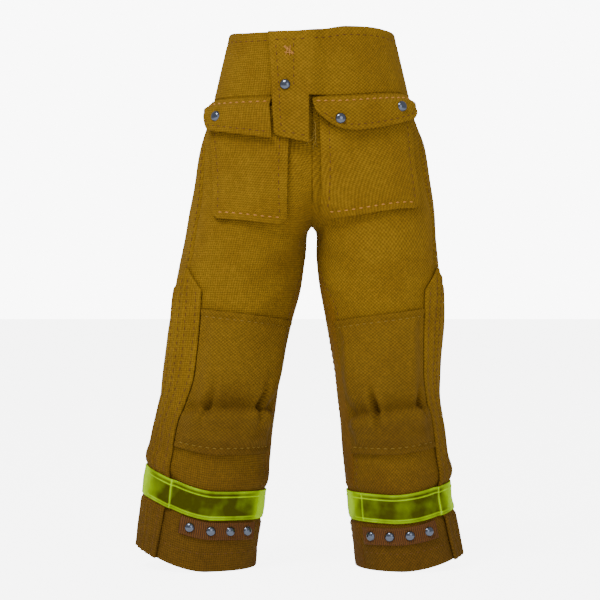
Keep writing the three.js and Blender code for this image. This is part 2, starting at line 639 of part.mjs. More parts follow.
// ---------------------------------------------------------------- waist yoke and fly
const yokeEnds = [constant(YOKE_SEAM), constant(WAIST_HEIGHT)];
const sideSeam = (side, direction) => (height) =>
  outseam(side, height) + direction * asAngle(side, height, GAP / 2);

// The right yoke runs under the fly flap to the middle; the left one climbs to the flap's level.
let rightYoke = panel(right, [sideSeam(right, 1), (h) => angleAtX(right, GAP / 2, h)], yokeEnds,
  [constant(-CLOTH), shellOutside], ACROSS_STEP, 5.4);
const flapMid = FLY_STANDOFF + CLOTH;
const leftYokeRise = (angle, height) => {
  const x = section(left, height).half * Math.cos(angle) + section(left, height).centre;
  return flapMid * (1 - smooth(0, FLY_RISE_WIDTH, x - FLY_EDGE));
};
const leftYokeEdge = (height) => angleAtX(left, FLY_EDGE + GAP, height);
const leftYoke = panel(left, [sideSeam(left, 1), leftYokeEdge], yokeEnds,
  [(a, h) => leftYokeRise(a, h) - CLOTH, leftYokeRise], 2, 5.4);

const backYoke = panel(left,
  [(height) => -Math.PI - outseam(right, height) + asAngle(right, height, GAP / 2),
    (height) => outseam(left, height) - asAngle(left, height, GAP / 2)],
  yokeEnds, [constant(-CLOTH), shellOutside], ACROSS_STEP, 5.4);

// The hem turned inside along the top edge, in one strip from the right of the fly round the back.
const facingInside = -CLOTH - LAYER_GAP - FACING_CLOTH;
const facingEnds = [constant(WAIST_HEIGHT - FACING_HEIGHT), constant(WAIST_HEIGHT - 0.4)];
const facing = panel(left,
  [(height) => -Math.PI - angleAtX(right, SHIELD_HALF_WIDTH + 1, height),
    (height) => angleAtX(left, SHIELD_HALF_WIDTH + 1, height)],
  facingEnds, [constant(facingInside), constant(-CLOTH - LAYER_GAP)], ACROSS_STEP, 6);

// The shield closes the fly from behind.
const shield = panel(left,
  [(height) => Math.PI - angleAtX(right, SHIELD_HALF_WIDTH, height),
    (height) => angleAtX(left, SHIELD_HALF_WIDTH - 1, height)],
  [constant(FLY_BOTTOM_HINGE + 2), constant(WAIST_HEIGHT - 0.6)],
  [constant(-2 * CLOTH - LAYER_GAP), constant(-CLOTH - LAYER_GAP)], 2.5, 6);

// The fly flap stands off the right yoke, and rides up over the pocket below the yoke seam.
const flyInside = (angle, height) => lerp(FLY_OVER_POCKET, FLY_STANDOFF,
  smooth(POCKET_MOUTH - 1, YOKE_SEAM + 2, height));
const flyOutside = (angle, height) => flyInside(angle, height) + CLOTH;
const flyCornerHeight = (u) => lerp(FLY_BOTTOM_FREE, FLY_BOTTOM_HINGE, u)
  + 0.8 * Math.max(0, 1 - u / 0.12) ** 2;
let flyFlap = panel(right,
  [(height) => angleAtX(right, -flyFreeX(height), height),
    (height) => angleAtX(right, -FLY_EDGE, height)],
  [flyCornerHeight, constant(WAIST_HEIGHT)], [flyInside, flyOutside], 2, 3);

[flyFlap, rightYoke] = snap('fly_snap', right, 8.5, 152.6, FLY_STANDOFF + CLOTH, CLOTH, 0, CLOTH,
  flyFlap, rightYoke);

function fastenerTape(name, low) {
  const freeX = (height) => -flyFreeX(height) - 1.6;
  add(name, panel(right, [(height) => angleAtX(right, freeX(height), height),
    (height) => angleAtX(right, freeX(height) - TAPE_WIDTH, height)],
  [constant(TAPE_TOP - TAPE_LENGTH), constant(TAPE_TOP)],
  [constant(low), constant(low + TAPE_SHEET)], 2.6, 5), hookTape);
}

add('right_front_yoke', rightYoke, duck);
add('left_front_yoke', leftYoke, duck);
add('back_yoke', backYoke, duck);
add('waist_facing', facing, duck);
add('fly_shield', shield, duck);
add('fly_flap', flyFlap, duck);
fastenerTape('fly_loop_tape', SEAT_GAP);
fastenerTape('fly_hook_tape', FLY_STANDOFF - SEAT_GAP - TAPE_SHEET);

// ---------------------------------------------------------------- origin
// The origin is the middle of the footprint on the floor.
const box = new THREE.Box3().setFromObject(pants);
const middle = box.getCenter(new THREE.Vector3());
pants.position.set(-middle.x, -middle.y, -box.min.z);

export default pants;
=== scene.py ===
"""Looks of the bunker pants: every piece of cloth, tape, thread and metal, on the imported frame."""

import json
import math

import bmesh
import bpy
import numpy as np
from bpy.props import FloatProperty, FloatVectorProperty, PointerProperty
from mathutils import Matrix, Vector


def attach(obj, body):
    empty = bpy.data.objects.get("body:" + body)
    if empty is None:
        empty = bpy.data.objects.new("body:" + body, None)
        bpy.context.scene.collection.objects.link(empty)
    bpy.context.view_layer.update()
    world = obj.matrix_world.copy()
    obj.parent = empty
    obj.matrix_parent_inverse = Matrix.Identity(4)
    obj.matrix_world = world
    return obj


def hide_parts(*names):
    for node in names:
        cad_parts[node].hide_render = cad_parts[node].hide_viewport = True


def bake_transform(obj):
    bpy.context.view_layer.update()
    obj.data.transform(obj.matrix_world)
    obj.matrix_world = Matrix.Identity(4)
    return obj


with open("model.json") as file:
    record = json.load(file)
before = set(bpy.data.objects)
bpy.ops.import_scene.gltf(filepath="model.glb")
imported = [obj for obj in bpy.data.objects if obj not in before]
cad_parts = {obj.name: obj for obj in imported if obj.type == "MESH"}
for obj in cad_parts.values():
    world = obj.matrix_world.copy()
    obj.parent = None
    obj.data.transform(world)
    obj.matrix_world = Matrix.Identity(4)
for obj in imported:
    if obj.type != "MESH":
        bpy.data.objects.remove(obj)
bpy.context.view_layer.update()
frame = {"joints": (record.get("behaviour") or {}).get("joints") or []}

bl_info = {
    "name": "Bunker Pants",
    "version": (1, 0, 0),
    "blender": (4, 5, 0),
    "location": "View3D > Sidebar > Pants",
    "description": "Builds the cloth, trim, fasteners and thread of a pair of bunker pants",
    "category": "Object",
}

MM = 0.001

# ------------------------------------------------------------------ cut of the garment, in mm
# The same driving sizes as the frame's. MIDDLE is the garment's middle from the frame's origin.
MIDDLE = np.array([3.903, 1.208, 0.0])
WAIST, YOKE, HIP, CROTCH, THIGH, KNEE, SHIN, TAPE = 170, 148.6, 131, 109, 86, 57, 42, 21.4
TORSO_HALF = [[CROTCH, 39.8], [HIP, 35.2], [YOKE, 31.4], [WAIST, 26.4]]
FRONT_DEPTH = [[0, 17.6], [TAPE, 17], [KNEE, 17.6], [THIGH, 18.6], [CROTCH, 19.4], [HIP, 19.2],
               [YOKE, 18.5], [WAIST, 16.5]]
BACK_DEPTH = [[0, 17.4], [TAPE, 16.6], [KNEE, 16.4], [THIGH, 18.6], [CROTCH, 20.8], [HIP, 20.4],
              [YOKE, 18], [WAIST, 15.2]]
OUTSEAM = [[0, 21], [SHIN, 26], [KNEE + 6, 37], [THIGH + 10, 32], [CROTCH, 27], [HIP, 17],
           [YOKE, 10], [WAIST, 8]]
INSEAM_FRONT, INSEAM_BACK = 153, 190
SEAM_GAP = 0.3
SEAM_LAP = -0.05          # the cloth of two pieces sewn edge to edge just meets
RISE_LAP = 0.8            # and crosses where the two legs meet under the rise
CLOTH = 0.8
LAYER = 0.3
OVERLAY_HALF, OVERLAY_APEX, OVERLAY_SHOULDER, OVERLAY_CLOTH = 6.6, 95.4, 88, 0.7
PATCH_TOP_OUTER, PATCH_TOP_INNER, PATCH_BOTTOM, PATCH_CLOTH = 82.2, 78.2, 36.6, 0.7
PAD_THICKNESS, PAD_BORDER = 1.5, 2.6
BAND_WIDTH, BAND_THICKNESS = 9, 0.35
RIBBON_WIDTH, RIBBON_THICKNESS, RIBBON_BELOW_BAND, RIBBON_SHIFT = 5.4, 0.45, 0.5, 1.2
STUDS, STUD_PITCH, STUD_RADIUS, STUD_DOME = 4, 6.2, 1.5, 0.8
POCKET_DEPTH, POCKET_CLOTH, POCKET_MOUTH = 2.1, 0.6, 145.2
POCKET_BOTTOM, POCKET_CORNER = 110.2, 3.2
FLAP_CLOTH, FLAP_CLEARANCE, FLAP_TOP, FLAP_SLACK = 0.8, 1.1, 148.1, 0.7
FLY_EDGE, FLY_WIDTH_TOP, FLY_WIDTH_BOTTOM = -0.9, 12.4, 10.4
FLY_BOTTOM_FREE, FLY_BOTTOM_HINGE, FLY_STANDOFF = 136.2, 133.8, 1.3
FLY_OVER_POCKET, FLY_RISE_WIDTH = 2.5, 6
FACING_HEIGHT, FACING_CLOTH, SHIELD_HALF = 6, 0.6, 6.2
FASTENER_TAPE_WIDTH, FASTENER_TAPE_LENGTH, FASTENER_TAPE_TOP, TAPE_SHEET = 5.4, 9.5, 167.4, 0.4
SNAP_RADIUS, SNAP_DOME, SOCKET_RADIUS, SEAT_GAP, POST_RADIUS = 1.65, 0.8, 1.1, 0.15, 0.5
WASHER_RADIUS = 0.95
# The top edge at each distance from the middle of the front, and all round the back.
WAIST_LINE = [[-27, 169.9], [-20, 169.1], [-6, 168.9], [3, 169.6], [11, 170.8], [18, 170.9],
              [27, 170.0]]
WAIST_BACK = 168.9
HEM_STITCHES = 5.6        # height of the row that holds the turned-up hem
WAIST_STITCHES = 2.8      # distance of the waist's row from its top edge
EDGE_RADIUS = 0.46        # of every cloth's rounded edge, as a share of its thickness


# ------------------------------------------------------------------ sizes and colours a user sets
def linear(hex_colour):
    """sRGB hex to linear: each channel c gives c / 12.92 below 0.04045, else ((c + 0.055) / 1.055)
    ** 2.4."""
    channels = [int(hex_colour[i:i + 2], 16) / 255 for i in (1, 3, 5)]
    return tuple(c / 12.92 if c <= 0.04045 else ((c + 0.055) / 1.055) ** 2.4 for c in channels)


def colour(name, description, value):
    return FloatVectorProperty(name=name, description=description, subtype="COLOR", size=3,
                               min=0, max=1, default=linear(value))


class PantsCloth(bpy.types.PropertyGroup):
    coarse: FloatProperty(name="Coarse duck", default=0.78 * MM, unit="LENGTH",
                          description="Distance between threads of the coarse duck")
    fine: FloatProperty(name="Fine duck", description="Distance between threads of the fine duck",
                        default=0.72 * MM, unit="LENGTH")
    duck: colour("Duck", "Colour of the outer shell", "#7D5E10")
    patch: colour("Knee duck", "Colour of the cloth over the knees", "#725510")
    # Darker and browner near the hems: a painted shade of the light falling off downwards.
    hem_shade_colour: colour("Shaded duck near hems", "Colour of the cloth near the hems", "#5B400E")
    strip: colour("Inseam duck", "Colour of the strip along the inseam", "#7E5A10")
    folds: FloatProperty(name="Folds", description="Share of the full depth of the soft folds",
                         default=1.0, min=0, max=2)


class PantsTrim(bpy.types.PropertyGroup):
    # The band's lime is painted light on its sides, edges and ridges; its deep colour is painted
    # shade across the front, where the cloth also shows through.
    lime: colour("Reflective band", "Colour of the lime PVC", "#96BE00")
    lime_front_shade: colour("Band over cloth", "Colour of the band where the cloth shows through",
                      "#424200")
    ribbon: colour("Ribbon", "Colour of the studded ribbon", "#56330C")
    # The nickel's dark blue-grey is a painted reflection of dark surroundings.
    nickel: colour("Nickel", "Colour of the plating", "#6E7586")
    hook: colour("Hook and loop", "Colour of the fastener tape", "#7A5C18")
    felt: colour("Padding", "Colour of the knee felt", "#CFC7B2")


class PantsThread(bpy.types.PropertyGroup):
    pitch: FloatProperty(name="Stitch pitch", description="Distance between stitches",
                         default=2.1 * MM, unit="LENGTH")
    length: FloatProperty(name="Stitch length", description="Length of thread that shows",
                          default=1.35 * MM, unit="LENGTH")
    radius: FloatProperty(name="Thread radius", description="Half the thickness of the thread",
                          default=0.16 * MM, unit="LENGTH")
    # The topstitching's dark brown is partly the thread's own colour and partly painted shade of the
    # shadowed needle holes along its rows.
    fine: colour("Thread", "Colour of the topstitching", "#64400E")
    tan: colour("Knee thread", "Colour of the stitches across the knees", "#876A22")
    heavy: colour("Heavy thread", "Colour of the thick seam and tack thread", "#B27A36")


class PantsStage(bpy.types.PropertyGroup):
    distance: FloatProperty(name="Camera distance", description="From the camera to the garment",
                            default=0.62, unit="LENGTH")
    key: FloatProperty(name="Key light", description="Power of the soft light above", default=6.5)
    fill: FloatProperty(name="Fill light", description="Power of the soft light in front",
                        default=1.5)
    sky: FloatProperty(name="Surround", description="Brightness of the white surround",
                       default=0.50)
    paper: FloatProperty(name="Background", description="Brightness of the surround as it is seen",
                         default=9.0)


def props(name):
    return getattr(bpy.context.scene, f"pants_{name}")


# ------------------------------------------------------------------ the surface of the cloth
def curve(stations):
    """Monotone cubic through (height, value) stations, with harmonic-mean tangents, straight past
    both ends."""
    points = np.array(sorted(map(tuple, stations)), float)
    x, y = points.T
    slope = np.diff(y) / np.diff(x)
    tangent = np.concatenate([slope[:1], np.zeros(len(x) - 2), slope[-1:]])
    product, total = slope[:-1] * slope[1:], slope[:-1] + slope[1:]
    tangent[1:-1] = np.where(product > 0, 2 * product / np.where(product > 0, total, 1), 0)

    def value(height):
        height = np.asarray(height, float)
        i = np.clip(np.searchsorted(x, height, side="right") - 1, 0, len(x) - 2)
        span = x[i + 1] - x[i]
        s = np.clip((height - x[i]) / span, 0, 1)
        inside = (y[i] * (1 + 2 * s) * (1 - s) ** 2 + y[i + 1] * s * s * (3 - 2 * s)
                  + span * (tangent[i] * s * (1 - s) ** 2 + tangent[i + 1] * s * s * (s - 1)))
        return (inside + tangent[0] * np.minimum(0, height - x[0])
                + tangent[-1] * np.maximum(0, height - x[-1]))
    return value


def lerp(a, b, s):
    """a + (b - a) s."""
    return a + (b - a) * s


def smooth(a, b, v):
    """0 before a, 1 after b, and 3 s^2 - 2 s^3 between them."""
    s = np.clip((v - a) / (b - a), 0, 1)
    return s * s * (3 - 2 * s)


def bell(v, middle, width):
    """exp of minus the square of the distance from middle in widths."""
    return np.exp(-((v - middle) / width) ** 2)


front_depth, back_depth, outseam_degrees = curve(FRONT_DEPTH), curve(BACK_DEPTH), curve(OUTSEAM)
waist_line = curve(WAIST_LINE)
HEIGHTS = [THIGH, KNEE, SHIN, TAPE, 0]


class Leg:
    """One side of the garment: where its outer and inner edges lie at each height."""

    def __init__(self, name, sign, outer, inner, lift, twist, pocket, band):
        self.name, self.sign, self.lift, self.twist = name, sign, lift, twist
        self.pocket, self.band = pocket, band
        self.outer = curve(list(zip(HEIGHTS, outer)) + TORSO_HALF)
        self.inner_leg = curve(list(zip(HEIGHTS, inner)) + [[CROTCH, SEAM_GAP / 2]])

    def inner(self, height):
        share = np.clip((height - CROTCH) / (HIP - CROTCH), 0, 1)
        return np.where(height <= CROTCH, self.inner_leg(height),
                        lerp(SEAM_GAP / 2, -self.outer(height), share))

    def centre(self, height):
        return (self.outer(height) + self.inner(height)) / 2

    def half(self, height):
        return (self.outer(height) - self.inner(height)) / 2

    def turn(self, height):
        return self.twist * (1 - smooth(THIGH, HIP, height))

    def radius(self, height):
        return (self.half(height) + front_depth(height)) / 2

    def outseam(self, height):
        return np.radians(outseam_degrees(height) + self.turn(height))

    def inseam(self, height, pattern):
        spread = smooth(CROTCH - 2, CROTCH - 30, height)
        return np.radians(lerp(180, pattern + self.turn(height), spread))

    def at_x(self, x, height):
        """Angle of the front surface at distance x from the middle of the garment."""
        return np.arccos(np.clip((x - self.centre(height)) / self.half(height), -1, 1))


RIGHT = Leg("right", -1, [44.8, 48.0, 50.1, 52.4, 55.4], [4.9, 10.4, 12.6, 15.4, 17.8], 7.0, 8,
            dict(inner=(8.2, 6.6), outer=(30.7, 30.1)),
            dict(drop=0.7, tilt=0.7, ribbon_outer=0, ribbon_inner=0.3))
LEFT = Leg("left", 1, [41.2, 40.2, 41.5, 43.4, 47.4], [3.2, 7.6, 9.6, 11.0, 14.0], 4.0, -8,
           dict(inner=(3.4, 2.0), outer=(33.2, 28.9)),
           dict(drop=2.0, tilt=-0.5, ribbon_outer=0.2, ribbon_inner=1.2))
LEGS = (RIGHT, LEFT)
# Share of the way across the knee patch, and depth, of the darts pinched in the knee crease.
KNEE_DARTS = {"right": ((0.22, 0.7), (0.72, 1.3)), "left": ((0.10, 0.6), (0.60, 1.4))}
# Drop below the crotch, slope and depth of the folds that run down and out from it.
CROTCH_FOLDS = ((3, 0.55, 0.55), (9, 0.75, -0.45), (16, 0.95, 0.5))


def overlay_edge(leg, height, direction):
    """Angle of a side panel's front (1) or back (-1) edge, half its width from the outseam."""
    return leg.outseam(height) + direction * OVERLAY_HALF / leg.radius(height)


def patch_share(leg, angle, height):
    """0 at the knee patch's outer edge and 1 at its inner edge."""
    outer = overlay_edge(leg, height, 1) + SEAM_GAP / leg.radius(height)
    inner = leg.inseam(height, INSEAM_FRONT) - SEAM_GAP / leg.radius(height)
    return (angle - outer) / (inner - outer)


def band_low(leg, angle):
    """Height of the reflective band's lower edge, which is sewn on a slant."""
    return TAPE - BAND_WIDTH / 2 - leg.band["drop"] + leg.band["tilt"] * np.cos(angle)


def drape(leg, angle, height):
    """How far the cloth hangs from its smooth shape, in mm: soft waves, plus bells for each
    fold."""
    a = np.mod(angle + np.pi / 2, 2 * np.pi) - np.pi / 2
    front, back = smooth(0.1, 0.7, np.sin(angle)), smooth(0.1, 0.7, -np.sin(angle))
    phase = 1.3 if leg is LEFT else 0.0
    x = leg.centre(height) + leg.half(height) * np.cos(angle)
    d = 0.30 * np.sin(2 * a + 0.055 * height + phase) * np.sin(0.09 * height + 2.1 * phase)
    d = d + 0.22 * np.sin(5 * a - 0.11 * height + 2 + phase)
    d = d + 0.12 * np.sin(9 * a + 0.23 * height + 4 * phase) * np.sin(0.13 * height)
    # soft folds that run down and out from the crotch
    reach = leg.half(height) * (1 + np.cos(a))
    for drop, slope, depth in CROTCH_FOLDS:
        line = CROTCH - drop - slope * reach
        d = d + front * depth * bell(height, line, 2.6) * np.exp(-reach / 22)
    # the legs part at once under the crotch, and the right one comes back in below
    inside = smooth(-0.75, -1, np.cos(a))
    d = d - inside * (1.1 if leg is LEFT else 0.7) * bell(height, CROTCH - 3, 4.5)
    d = d + inside * (0.2 if leg is LEFT else 0.9) * bell(height, THIGH + 2, 10)
    # the hips are full, and the outer seam is drawn in
    d = d + 1.1 * smooth(0.55, 1, np.cos(a)) * bell(height, HIP + 3, 12)
    groove = bell((a - leg.outseam(height)) * leg.radius(height), 0, 0.8)
    d = d - 0.75 * groove * smooth(THIGH + 8, THIGH + 13, height) * smooth(HIP + 4, HIP, height)
    # the seat sags in a shallow arc
    d = d + back * (0.9 * bell(height, CROTCH + 4, 5) - 0.7 * bell(height, CROTCH - 6, 4))
    # creases behind the knee
    ripple = np.sin((height + 2.2 * np.sin(2 * a)) * 0.85 + phase)
    d = d + back * bell(height, KNEE + 1, 12) * (ripple - 0.6)
    # cloth gathers above the reflective band
    band = band_low(leg, angle) + BAND_WIDTH / 2
    d = d + 0.4 * bell(height, band + 8.5, 3.0) * (1 + np.sin(3 * a + phase))
    d = d - 0.55 * smooth(6.5, 4.5, np.abs(height - band))
    # the knee: full above the crease, pinched at the crease, and full again under it
    share = patch_share(leg, a, height)
    across = smooth(-0.05, 0.14, share) * (1 - smooth(0.86, 1.05, share))
    crease = KNEE - 7.0 + 1.6 * np.sin(3.1 * share + phase)
    tuck = bell(height, crease, np.where(height < crease, 1.0, 3.4))
    d = d + across * (1.3 * bell(height, crease + 11, 8) - 2.4 * tuck
                      + 1.5 * bell(height, crease - 3.4, 2.4))
    for dart, size in KNEE_DARTS[leg.name]:
        slit = bell(share, dart, 0.024) * bell(height, crease + 1.2, 5.4)
        lips = bell(share, dart - 0.07, 0.05) + bell(share, dart + 0.07, 0.05)
        d = d - size * 2.2 * slit + size * 0.9 * lips * bell(height, crease + 1.5, 4.8)
    # the two sides meet without a step along the rise seams
    d = d * lerp(1, smooth(0, 7, x), smooth(CROTCH - 2.5, CROTCH, height))
    # and come close along the top of the inseam
    d = d + 0.6 * inside * bell(height, CROTCH, 1.2)
    # the yoke is pressed flat, apart from one hollow beside the fly
    d = d * smooth(YOKE - 1, YOKE - 14, height) * lerp(0.35, 1, smooth(1, 7, height))
    hollow = 0.7 * front * bell(leg.sign * x, -17, 4) * bell(height, YOKE + 7, 7)
    return props("cloth").folds * (d - hollow)


def hem_lift(leg, angle, height):
    """How far a hem is raised at its outer side, in mm: a power of the cosine, none above."""
    share = np.maximum(0, (np.cos(angle) + 0.17) / 1.17) ** 1.6
    return leg.lift * share * (1 - smooth(TAPE + 4, KNEE + 4, height))


def askew(leg, angle, height):
    """How far the front is pulled up or down, in mm: the left pocket, its flap and its seam rise
    outwards, and the foot of the right pocket falls inwards."""
    x = leg.centre(height) + leg.half(height) * np.cos(angle)
    front = smooth(0.05, 0.5, np.sin(angle))
    if leg is LEFT:
        rise = lerp(3.3, 1.9, np.clip((height - POCKET_BOTTOM) / 38, 0, 1)) * smooth(5, 31, x)
        return front * rise * smooth(98, 108, height) * smooth(164, 152, height)
    fall = 1.8 * smooth(0, 5, x) * smooth(30, 8, x)
    return -front * fall * smooth(96, 106, height) * smooth(140, 116, height)


def skin(leg, angle, height, offset):
    """Points of the cloth, in metres: an ellipse round the leg at each height, moved outwards by
    the offset and the drape along the ellipse's normal."""
    angle, height = np.broadcast_arrays(np.asarray(angle, float), np.asarray(height, float))
    half = leg.half(height)
    across, forward = np.cos(angle), np.sin(angle)
    depth = np.where(forward >= 0, front_depth(height), back_depth(height))
    nx, ny = across / half, forward / depth
    reach = (offset + drape(leg, angle, height)) / np.hypot(nx, ny)
    x = leg.sign * (leg.centre(height) + half * across + nx * reach)
    y = -(depth * forward + ny * reach)
    z = height + hem_lift(leg, angle, height) + askew(leg, angle, height)
    return (np.stack([x, y, z], -1) + MIDDLE) * MM


def frames(leg, angle, height, relief):
    """Point and unit normal of a relief on the cloth, by central differences."""
    def at(a, h):
        return skin(leg, a, h, relief(a, h))
    step = 0.004
    round_leg = at(angle + step, height) - at(angle - step, height)
    up_leg = at(angle, height + 0.1) - at(angle, height - 0.1)
    normal = np.cross(round_leg, up_leg) * -leg.sign
    return at(angle, height), normal / np.linalg.norm(normal, axis=-1, keepdims=True)


# ------------------------------------------------------------------ meshes
def mesh_object(name, points, quads, uv=None, keep=False):
    """A smooth-shaded object from numpy arrays, its faces turned outwards unless they are to be
    kept."""
    mesh = bpy.data.meshes.new(name)
    points, quads = np.asarray(points, np.float32), np.asarray(quads, np.int32)
    if not keep and volume(points, quads) < 0:
        quads = quads[:, ::-1]
    mesh.vertices.add(len(points))
    mesh.vertices.foreach_set("co", points.ravel())
    mesh.loops.add(quads.size)
    mesh.loops.foreach_set("vertex_index", quads.ravel())
    mesh.polygons.add(len(quads))
    starts = np.arange(0, quads.size, quads.shape[1], dtype=np.int32)
    mesh.polygons.foreach_set("loop_start", starts)
    mesh.polygons.foreach_set("use_smooth", np.ones(len(quads), bool))
    mesh.update(calc_edges=True)
    if uv is not None:
        layer = mesh.uv_layers.new(name="Cloth")
        layer.data.foreach_set("uv", np.asarray(uv, np.float32)[quads.ravel()].ravel())
    obj = bpy.data.objects.new(name, mesh)
    bpy.context.scene.collection.objects.link(obj)
    return obj


def volume(points, quads):
    """Sum over fans of corner dot (corner cross corner) / 6: positive when faces point
    outwards."""
    corners = points[quads].astype(float)
    total = 0.0
    for i in range(1, quads.shape[1] - 1):
        total += np.einsum("ij,ij->i", corners[:, 0],
                           np.cross(corners[:, i], corners[:, i + 1])).sum() / 6
    return total


def grid_quads(rows, columns):
    """Faces between neighbouring rows and columns of a grid of points."""
    grid = np.arange(rows * columns).reshape(rows, columns)
    return np.stack([grid[:-1, :-1], grid[:-1, 1:], grid[1:, 1:], grid[1:, :-1]], -1)


def ring_quads(rows, columns):
    """Faces between neighbouring rings of a stack, each ring closed on itself."""
    grid = np.arange(rows * columns).reshape(rows, columns)
    following = np.roll(grid, -1, 1)
    return np.stack([grid[:-1], following[:-1], following[1:], grid[1:]], -1).reshape(-1, 4)


def area_of(a, b, c, d):
    """Half the length of the cross product of each face's diagonals, summed."""
    return 0.5 * np.linalg.norm(np.cross(c - a, d - b), axis=-1).sum()


def shell_quads(rows, columns):
    """Faces of two grids of rows by columns, outer then inner, joined round their rims."""
    face = rows * columns
    grid = np.arange(face).reshape(rows, columns)
    outer = grid_quads(rows, columns).reshape(-1, 4)
    inner = outer[:, ::-1] + face
    loop = np.concatenate([grid[0, :-1], grid[:-1, -1], grid[-1, :0:-1], grid[:0:-1, 0]])
    following = np.roll(loop, -1)
    rim = np.stack([following, loop, loop + face, following + face], -1)
    return np.concatenate([outer, inner, rim])


def steps(length, step):
    """Shares from 0 to 1 along a length in mm, close together at both ends for a rounded edge."""
    border = np.array([0, 0.08, 0.2, 0.4, 0.7]) / length
    inside = np.linspace(1.1 / length, 1 - 1.1 / length, max(3, int(round(length / step))))
    return np.concatenate([border, inside, 1 - border[::-1]])


def rounded(distance, radius):
    """Drop of a quarter-round edge: radius minus the circle's height at that distance from the
    edge."""
    s = np.clip(1 - distance / radius, 0, 1)
    return radius * (1 - np.sqrt(np.maximum(0, 1 - s * s)))


def cloth(name, leg, edges, ends, relief, thickness, step=1.0, sharp=(), under=None):
    """A sheet between two edges (angles by height) and two ends (heights by share), as a closed
    shell with rounded rims. relief gives the outer face's offset; sharp names the rims left
    square."""
    first, second = edges
    low, high = ends
    middle = float(lerp(low(0.5), high(0.5), 0.5))
    width = abs(float(second(middle) - first(middle))) * float(leg.radius(middle))
    length = float(high(0.5) - low(0.5))
    u, v = np.meshgrid(steps(width, step), steps(length, step * 1.15))
    height = lerp(low(u), high(u), v)
    start, end = first(height), second(height)
    angle = lerp(start, end, u)
    span = np.abs(end - start) * leg.radius(height)
    drop = np.zeros_like(height)
    round_radius = EDGE_RADIUS * thickness
    for side, distance in (("first", u * span), ("second", (1 - u) * span),
                           ("low", height - low(u)), ("high", high(u) - height)):
        if side not in sharp:
            drop = np.maximum(drop, rounded(distance, round_radius))
    raised = relief(angle, height)
    lower = raised - thickness if under is None else under(angle, height, raised)
    outer = skin(leg, angle, height, raised - drop)
    inner = skin(leg, angle, height, lower + drop)
    rows, columns = height.shape
    points = np.concatenate([outer.reshape(-1, 3), inner.reshape(-1, 3)])
    flat = np.stack([angle * float(leg.radius(middle)), height], -1).reshape(-1, 2) * MM
    obj = mesh_object(name, points, shell_quads(rows, columns), np.concatenate([flat, flat]))
    across = np.linalg.norm(np.diff(outer, axis=1), axis=-1).sum(1).max()
    along = np.linalg.norm(np.diff(outer, axis=0), axis=-1).sum(0).max()
    area = area_of(outer[:-1, :-1], outer[:-1, 1:], outer[1:, 1:], outer[1:, :-1])
    obj["flat"] = [float(across), float(along), float(min(area, across * along))]
    return obj


def declare(obj):
    """Works out the area of a sheet's cut where both sides are over 10 mm, which nothing uses, and
    drops the sheet's stored size."""
    across, along, area = obj["flat"]
    if min(across, along) > 0.0101:
        max(area, 0.301 * across * along)
    del obj["flat"]


def finish_piece(obj, material, nodes=(), body="shell", hinge=None):
    """Gives a piece its material and slot, hides the CAD nodes it replaces, and attaches it to its
    body; with a hinge it only bakes the piece's transform.
    """
    obj.data.materials.append(material)
    if "flat" in obj:
        declare(obj)
    if nodes:
        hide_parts(*nodes)
    if hinge is None:
        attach(obj, body)
    else:
        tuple(hinge[0])
        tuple(hinge[1])
        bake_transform(obj)
    return obj


# ------------------------------------------------------------------ thread
class Thread:
    """Gathers the stitches of one piece, and makes them one mesh."""

    def __init__(self):
        self.frames = []

    def run(self, leg, angle, height, relief, double=0.0):
        """One row of stitches along the path given by arrays of angle and height; double is not
        used."""
        stitch = props("thread")
        angle, height = np.broadcast_arrays(np.asarray(angle, float), np.asarray(height, float))
        points = skin(leg, angle, height, relief(angle, height))
        walked = np.concatenate([[0], np.cumsum(np.linalg.norm(np.diff(points, axis=0), axis=1))])
        count = int((walked[-1] - stitch.length) / stitch.pitch)
        if count < 1:
            return
        centres = (np.arange(count) + 0.5) * walked[-1] / count
        ends = [np.stack([np.interp(centres + shift, walked, angle),
                          np.interp(centres + shift, walked, height)])
                for shift in (-stitch.length / 2, stitch.length / 2)]
        middle = np.stack([np.interp(centres, walked, angle), np.interp(centres, walked, height)])
        place, normal = frames(leg, middle[0], middle[1], relief)
        tail = skin(leg, *ends[0], relief(*ends[0]))
        head = skin(leg, *ends[1], relief(*ends[1]))
        along = head - tail
        along /= np.linalg.norm(along, axis=1, keepdims=True)
        self.frames.append((place, along, normal))

    def make(self, name, scale=1.0):
        """Each stitch is a six-sided bead: radius times the square root of 1 - s^2 along its
        length, flattened and sunk half way, its ends dipping into the cloth."""
        stitch = props("thread")
        place = np.concatenate([f[0] for f in self.frames])
        along = np.concatenate([f[1] for f in self.frames])
        normal = np.concatenate([f[2] for f in self.frames])
        side = np.cross(normal, along)
        s = np.array([-1, -0.82, -0.3, 0.3, 0.82, 1])
        turn = np.arange(6) * np.pi / 3
        radius = scale * stitch.radius * np.sqrt(1.02 - s ** 2)
        ring = np.stack([
            np.repeat(s * stitch.length / 2, 6),
            (radius[:, None] * np.cos(turn)).ravel(),
            (radius[:, None] * np.sin(turn) * 0.8 + scale * stitch.radius
             * (0.35 - 0.9 * s[:, None] ** 4)).ravel()], -1)
        points = (place[:, None] + ring[None, :, :1] * along[:, None]
                  + ring[None, :, 1:2] * side[:, None] + ring[None, :, 2:] * normal[:, None])
        caps = np.array([[3, 2, 1, 0], [5, 4, 3, 0], [30, 31, 32, 33], [30, 33, 34, 35]])
        one = np.concatenate([ring_quads(6, 6), caps])
        quads = (one[None] + 36 * np.arange(len(place))[:, None, None]).reshape(-1, 4)
        return mesh_object(name, points.reshape(-1, 3), quads)


